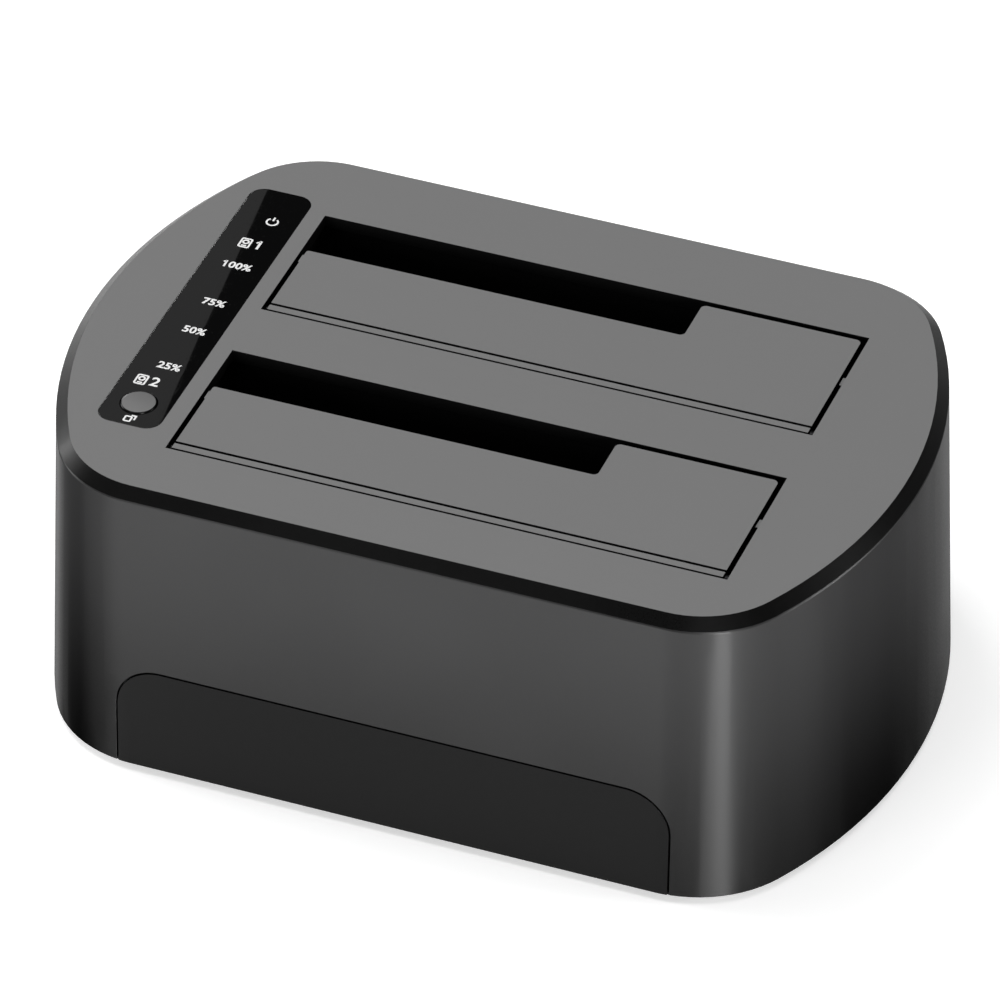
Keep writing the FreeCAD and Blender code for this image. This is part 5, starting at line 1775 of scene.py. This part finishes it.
# ---------------------------------------------------------------- circuit boards
@dataclass
class Boards:
    """Main board, panel board, what is soldered to them, and the cable between them.

    Attributes:
        lead_pitch: Pitch of the chips' leads, in millimetres.
        lead_reach: How far a lead stands out from its chip.
        lead_thick: Thickness of a lead.
        lead_rise: Height at which it leaves the chip.
        lead_margin: Length without leads at each end of a chip's side.
        can_radius: Radius of the electrolytic capacitors.
        can_foot: Height of their square foot, and how far its corners are cut back.
        part_size: Length, width and height of the small parts.
        part_gap: How far the small parts stand from their chip.
        parts_beside: Small parts beside each side of a large chip.
        large: Least width of a large chip.
        ribs: Ribs on each long side of a header.
        rib_size: Their thickness and length along the header.
        rib_start: Where the first one's middle lies from the header's end.
        rib_pitch: Their pitch.
        rib_margin: How far they end from its foot and top.
        cores: Cores in the flat cable.
        core_overlap: How far the cores run into each other, as a factor on their radius.
        cable_lead: Straight length of the cable at each end.
    """

    lead_pitch: float = 0.65
    lead_reach: float = 0.9
    lead_thick: float = 0.12
    lead_rise: float = 0.75
    lead_margin: float = 0.5
    can_radius: float = 3.15
    can_foot: tuple[float, float] = (0.6, 0.8)
    part_size: tuple[float, float, float] = (1.6, 0.8, 0.75)
    part_gap: float = 2.6
    parts_beside: int = 5
    large: float = 8.0
    ribs: int = 8
    rib_size: tuple[float, float] = (0.3, 0.5)
    rib_start: float = 1.5
    rib_pitch: float = 1.0
    rib_margin: float = 0.2
    cores: int = 8
    core_overlap: float = 1.02
    cable_lead: float = 3.0

    def build(self, scattered: Scattered, row: Row, ribbon: Ribbon) -> None:
        """Builds the boards and their parts.

        Args:
            scattered: The tree that scatters.
            row: The tree that lays rows.
            ribbon: The tree that lays the flat cable.
        """
        for node, slot, edge in (
            ("main_board", "board_green", 0.08),
            ("panel_board", "board_green", 0.08),
            ("board_inductors", "chip_black", 0.25),
            ("board_crystals", "can_steel", 0.3),
            ("board_chips", "chip_black", 0.08),
        ):
            moulded(node, slot, edge, "detail")
        self.leads(scattered)
        self.capacitors(scattered)
        self.chip_capacitors(scattered)
        self.headers(row)
        self.cable(ribbon)

    def gull_wing(self) -> Mesh:
        """One bent lead, reaching along +X from a chip's side at the origin down to the board.

        Returns:
            The mesh.
        """
        half, thick, rise = self.lead_pitch * 0.2, self.lead_thick, self.lead_rise
        bend = ((-0.1, rise), (0.25, rise), (0.45, thick), (self.lead_reach, thick))
        return loft([(x, -half, z - thick), (x, half, z - thick), (x, half, z), (x, -half, z)]
                    for x, z in bend)

    def along(self, start: float, end: float) -> list[float]:
        """Places of the leads along one side of a chip.

        Args:
            start: One end of the side, in metres.
            end: The other.

        Returns:
            The places, in metres.
        """
        pitch = self.lead_pitch * MM
        count = int((end - start - 2 * self.lead_margin * MM) / pitch)
        first = (start + end) / 2 - count * pitch / 2
        return [first + i * pitch for i in range(count + 1)]

    def leads(self, scattered: Scattered) -> None:
        """Solders leads round the chips: all four sides of square ones, two sides of the others.

        Args:
            scattered: The tree that scatters.
        """
        places = []
        for low, high in islands("board_chips"):
            for edge, turn in ((high.x, 0.0), (low.x, math.pi)):
                places += [(edge, y, low.z, turn) for y in self.along(low.y, high.y)]
            if abs((high.x - low.x) - (high.y - low.y)) > 0.1 * MM:
                continue
            for edge, turn in ((high.y, QUARTER), (low.y, -QUARTER)):
                places += [(x, edge, low.z, turn) for x in self.along(low.x, high.x)]
        put("chip_leads", scattered.repeat(self.gull_wing(), places, FINISH.can_steel), "can_steel")

    def capacitors(self, scattered: Scattered) -> None:
        """Turns the electrolytic capacitors: rolled neck, and a scored vent in the top.

        Args:
            scattered: The tree that scatters.
        """
        boxes = islands("board_capacitors")
        width, _, height = size(boxes[0])
        half, radius, (foot, corner) = width / 2, self.can_radius, self.can_foot
        base = slab(((half, half - corner), (half - corner, half), (-half, half), (-half, -half),
                     (half - corner, -half), (half, -half + corner)), 0.0, foot)
        can = lathe([(0.0, 0.5), (radius - 0.1, 0.5), (radius, 0.7), (radius, 1.3), (radius - 0.25, 1.55),
                     (radius, 1.8), (radius, height - 0.35), (radius - 0.12, height - 0.1),
                     (radius - 0.35, height), (radius - 0.6, height - 0.06), (0.0, height - 0.06)], 32)
        for turn in (math.pi / 4, math.pi * 3 / 4):
            score = slab(rounded(radius * 1.3, 0.16, 0.03, steps=1), height - 0.15, height + 1.0)
            can = cut(can, placed(score, turn=(0, 0, turn)))
        made = scattered.repeat(joined((eased(base, 0.08), can)), stands(boxes), FINISH.can_aluminium)
        put("board_capacitors_rolled", made, "can_aluminium", "board_capacitors")

    def chip_capacitors(self, scattered: Scattered) -> None:
        """Solders small parts in a row beside two sides of each large chip.

        Args:
            scattered: The tree that scatters.
        """
        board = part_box("main_board")[1].z
        gap, count = self.part_gap * MM, self.parts_beside
        places = []
        for low, high in islands("board_chips"):
            if high.x - low.x < self.large * MM:
                continue
            for side in (low.x - gap, high.x + gap):
                for i in range(count):
                    along = low.y + (i + 0.5) * (high.y - low.y) / count
                    places.append((side, along, board, 0.0 if i % 2 else QUARTER))
        length, width, height = self.part_size
        part = eased(slab(rounded(length, width, 0.08, steps=1), 0.0, height), 0.06)
        put("board_chip_parts", scattered.repeat(part, places, FINISH.baffle_white, Loose_Turn=0.03),
            "baffle_white")

    def headers(self, row: Row) -> None:
        """Moulds the cable's two headers, with ribs on their long sides.

        Args:
            row: The tree that lays rows.
        """
        inset = 0.05 * MM
        for node in ("panel_cable_socket", "board_cable_socket"):
            low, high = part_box(node)
            body = eased(node_mesh(node), 0.15)
            top = (high.z - low.z) / MM - self.rib_margin
            rib = eased(slab(rounded(*self.rib_size, 0.05, steps=1), self.rib_margin, top), 0.05)
            starts = [(x, low.y + self.rib_start * MM, low.z) for x in (low.x + inset, high.x - inset)]
            made = row.repeat(rib, starts, FINISH.socket_ivory, Count=self.ribs,
                              Step=(0.0, self.rib_pitch * MM, 0.0))
            put(node + "_ribbed", joined((body, made)), "socket_ivory", node)

    def cable(self, ribbon: Ribbon) -> None:
        """Lays the flat cable: straight at both ends, bowed outward between.

        Args:
            ribbon: The tree that lays it.
        """
        low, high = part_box("panel_cable")
        pitch = (high.y - low.y) / self.cores
        radius = pitch / 2 * self.core_overlap
        right, bow = high.x - radius, high.x - low.x - 2 * radius
        lead = self.cable_lead * MM
        rise = high.z - low.z - 2 * lead
        steps = 36
        line = [(right, 0.0, low.z)]
        for share in (i / steps for i in range(steps + 1)):
            out = bow * (0.5 - 0.5 * math.cos(math.tau * share))
            line.append((right - out, 0.0, low.z + lead + rise * share))
        line.append((right, 0.0, high.z))
        made = ribbon.run(path(line), FINISH.cable_grey, Cores=self.cores, Pitch=pitch, Core_Radius=radius)
        put("panel_cable_ribbon", placed(made, (0.0, (low.y + high.y) / 2, 0.0)), "cable_grey", "panel_cable")


# ---------------------------------------------------------------- studio
def direction(azimuth: float, elevation: float) -> Vector:
    """Which way a stand lies from the dock.

    Args:
        azimuth: In degrees; 0 is in front and 90 to the right.
        elevation: Its height as an angle, in degrees.

    Returns:
        The direction, of length one.
    """
    turn, lift = math.radians(azimuth), math.radians(elevation)
    return Vector((math.sin(turn) * math.cos(lift), -math.cos(turn) * math.cos(lift), math.sin(lift)))


@dataclass(frozen=True)
class Lamp:
    """A soft rectangular lamp that faces a point.

    Attributes:
        name: Name of the lamp.
        azimuth: Where it stands, in degrees; 0 is in front and 90 to the right.
        elevation: Its height as an angle, in degrees.
        width: Its width, in metres.
        height: Its height, in metres.
        power: Radiance of its face, where 1 is a white card in full light.
        roll: How far it is turned about its own axis, in degrees.
        distance: How far it is from the dock, in metres.
    """

    name: str
    azimuth: float
    elevation: float
    width: float
    height: float
    power: float
    roll: float = 0.0
    distance: float = 1.5

    def build(self, aim: Vector) -> None:
        """Makes the lamp.

        Args:
            aim: Point that it faces.
        """
        data = bpy.data.lights.new(self.name, "AREA")
        data.shape = "RECTANGLE"
        data.size = self.width
        data.size_y = self.height
        data.energy = self.power * math.pi * self.width * self.height
        lamp = linked(data, self.name)
        away = direction(self.azimuth, self.elevation)
        lamp.location = aim + away * self.distance
        facing = away.to_track_quat("Z", "Y") @ Quaternion((0.0, 0.0, 1.0), math.radians(self.roll))
        lamp.rotation_euler = facing.to_euler()


@dataclass
class Studio:
    """Floor, lamps and camera.

    Attributes:
        azimuth: Where the camera stands, in degrees to the right of the front.
        elevation: Its height as an angle, in degrees.
        distance: From the point it looks at, in metres.
        lens: Focal length, in millimetres.
        aim_side: Where it looks, sideways of the dock's origin, in metres.
        aim_rise: Where it looks, upwards across the view, in metres.
        aim_lift: Where it looks, straight up, in metres.
        lamp_aim: Height of the point that the lamps face, in metres.
        floor_size: Side of the floor, in metres.
        floor_colour: Colour of the floor.
        floor_glow: How much whiter the floor is as a background, near the dock.
        glow_reach: Distances between which the glow grows to its full strength, in metres.
        sky: Brightness of the room.
        lamps: The lamps.
    """

    azimuth: float = 21.028
    elevation: float = 37.496
    distance: float = 1.5083
    lens: float = 301.2
    aim_side: float = -0.00064
    aim_rise: float = 0.02571
    aim_lift: float = 0.0016
    lamp_aim: float = 0.03
    floor_size: float = 60.0
    floor_colour: Colour = (0.9, 0.9, 0.9)
    floor_glow: float = 0.42
    glow_reach: tuple[float, float] = (0.3, 1.2)
    sky: float = 0.03
    lamps: tuple[Lamp, ...] = (
        Lamp("corner_strip", 40.0, 6.0, 0.42, 0.29, 66.0),
        Lamp("front_soft", 335.0, 14.0, 0.7, 0.7, 4.4),
        Lamp("right_strip", 106.0, 8.0, 0.4, 0.4, 26.0),
        Lamp("left_rear_soft", 220.0, 8.0, 0.4, 0.35, 16.0),
        Lamp("left_strip", 266.0, 10.0, 0.9, 0.45, 14.0),
        Lamp("rear_key", 252.0, 64.0, 0.9, 0.8, 3.5),
        Lamp("overhead", 60.0, 84.0, 1.0, 1.0, 2.2),
        Lamp("rear_card", 228.9, 38.0, 0.759, 0.95, 0.25, -43.2),
    )

    def build(self) -> None:
        """Sets up the studio."""
        bpy.context.scene.view_settings.view_transform = "Standard"
        self.room()
        self.floor()
        for lamp in self.lamps:
            lamp.build(Vector((0.0, 0.0, self.lamp_aim)))
        self.camera()

    def room(self) -> None:
        """Gives the room an even brightness."""
        world = bpy.data.worlds.new("room")
        bpy.context.scene.world = world
        world.use_nodes = True
        graph = Graph(world.node_tree)
        light = graph.node("ShaderNodeBackground", None, {"Color": WHITE, "Strength": self.sky})
        graph.node("ShaderNodeOutputWorld", None, {"Surface": light[0]})

    def floor(self) -> None:
        """Lays a plain pale floor."""
        half = self.floor_size / 2
        mesh = bpy.data.meshes.new("floor")
        mesh.from_pydata([(-half, -half, 0.0), (half, -half, 0.0), (half, half, 0.0), (-half, half, 0.0)], [],
                         [(0, 1, 2, 3)])
        material = bpy.data.materials.new("floor_pale")
        material.use_nodes = True
        graph = Graph(material.node_tree)
        paint = graph.node("ShaderNodeBsdfDiffuse", None, {"Color": (*self.floor_colour, 1.0)})
        rays = graph.node("ShaderNodeLightPath")
        seen = rays["Is Camera Ray"].most(rays["Is Glossy Ray"]).most(rays["Is Transmission Ray"])
        away = graph.node("ShaderNodeVectorMath", {"operation": "LENGTH"}, {0: graph.place()})["Value"]
        glow = graph.node("ShaderNodeEmission", None, {
            "Color": WHITE, "Strength": seen * away.ramp(*self.glow_reach, self.floor_glow, 1.0)})
        both = graph.node("ShaderNodeAddShader", None, {0: paint[0], 1: glow[0]})
        graph.node("ShaderNodeOutputMaterial", None, {"Surface": both[0]})
        mesh.materials.append(material)
        linked(mesh, "floor")

    def camera(self) -> None:
        """Stands the camera where the dock is seen from its front right, from above."""
        turn, lift = math.radians(self.azimuth), math.radians(self.elevation)
        right = Vector((math.cos(turn), math.sin(turn), 0.0))
        back = direction(self.azimuth, self.elevation)
        data = bpy.data.cameras.new("camera")
        data.lens = self.lens
        data.clip_end = 50.0
        camera = linked(data, "camera")
        camera.location = right * self.aim_side + back.cross(right) * self.aim_rise + back * self.distance
        camera.location.z += self.aim_lift
        camera.rotation_euler = (QUARTER - lift, 0.0, turn)
        bpy.context.scene.camera = camera


def main() -> None:
    """Builds the dock and the studio."""
    logging.basicConfig(level=logging.INFO, format="%(message)s")
    scattered, row, coil, ribbon = Scattered(), Row(), Coil(), Ribbon()
    Housing().build(scattered)
    for side in Side:
        DriveBay(side).build(row, coil)
    ControlStrip().build(scattered)
    RearPorts().build(row)
    Boards().build(scattered, row, ribbon)
    Studio().build()


if __name__ == "__main__":
    main()
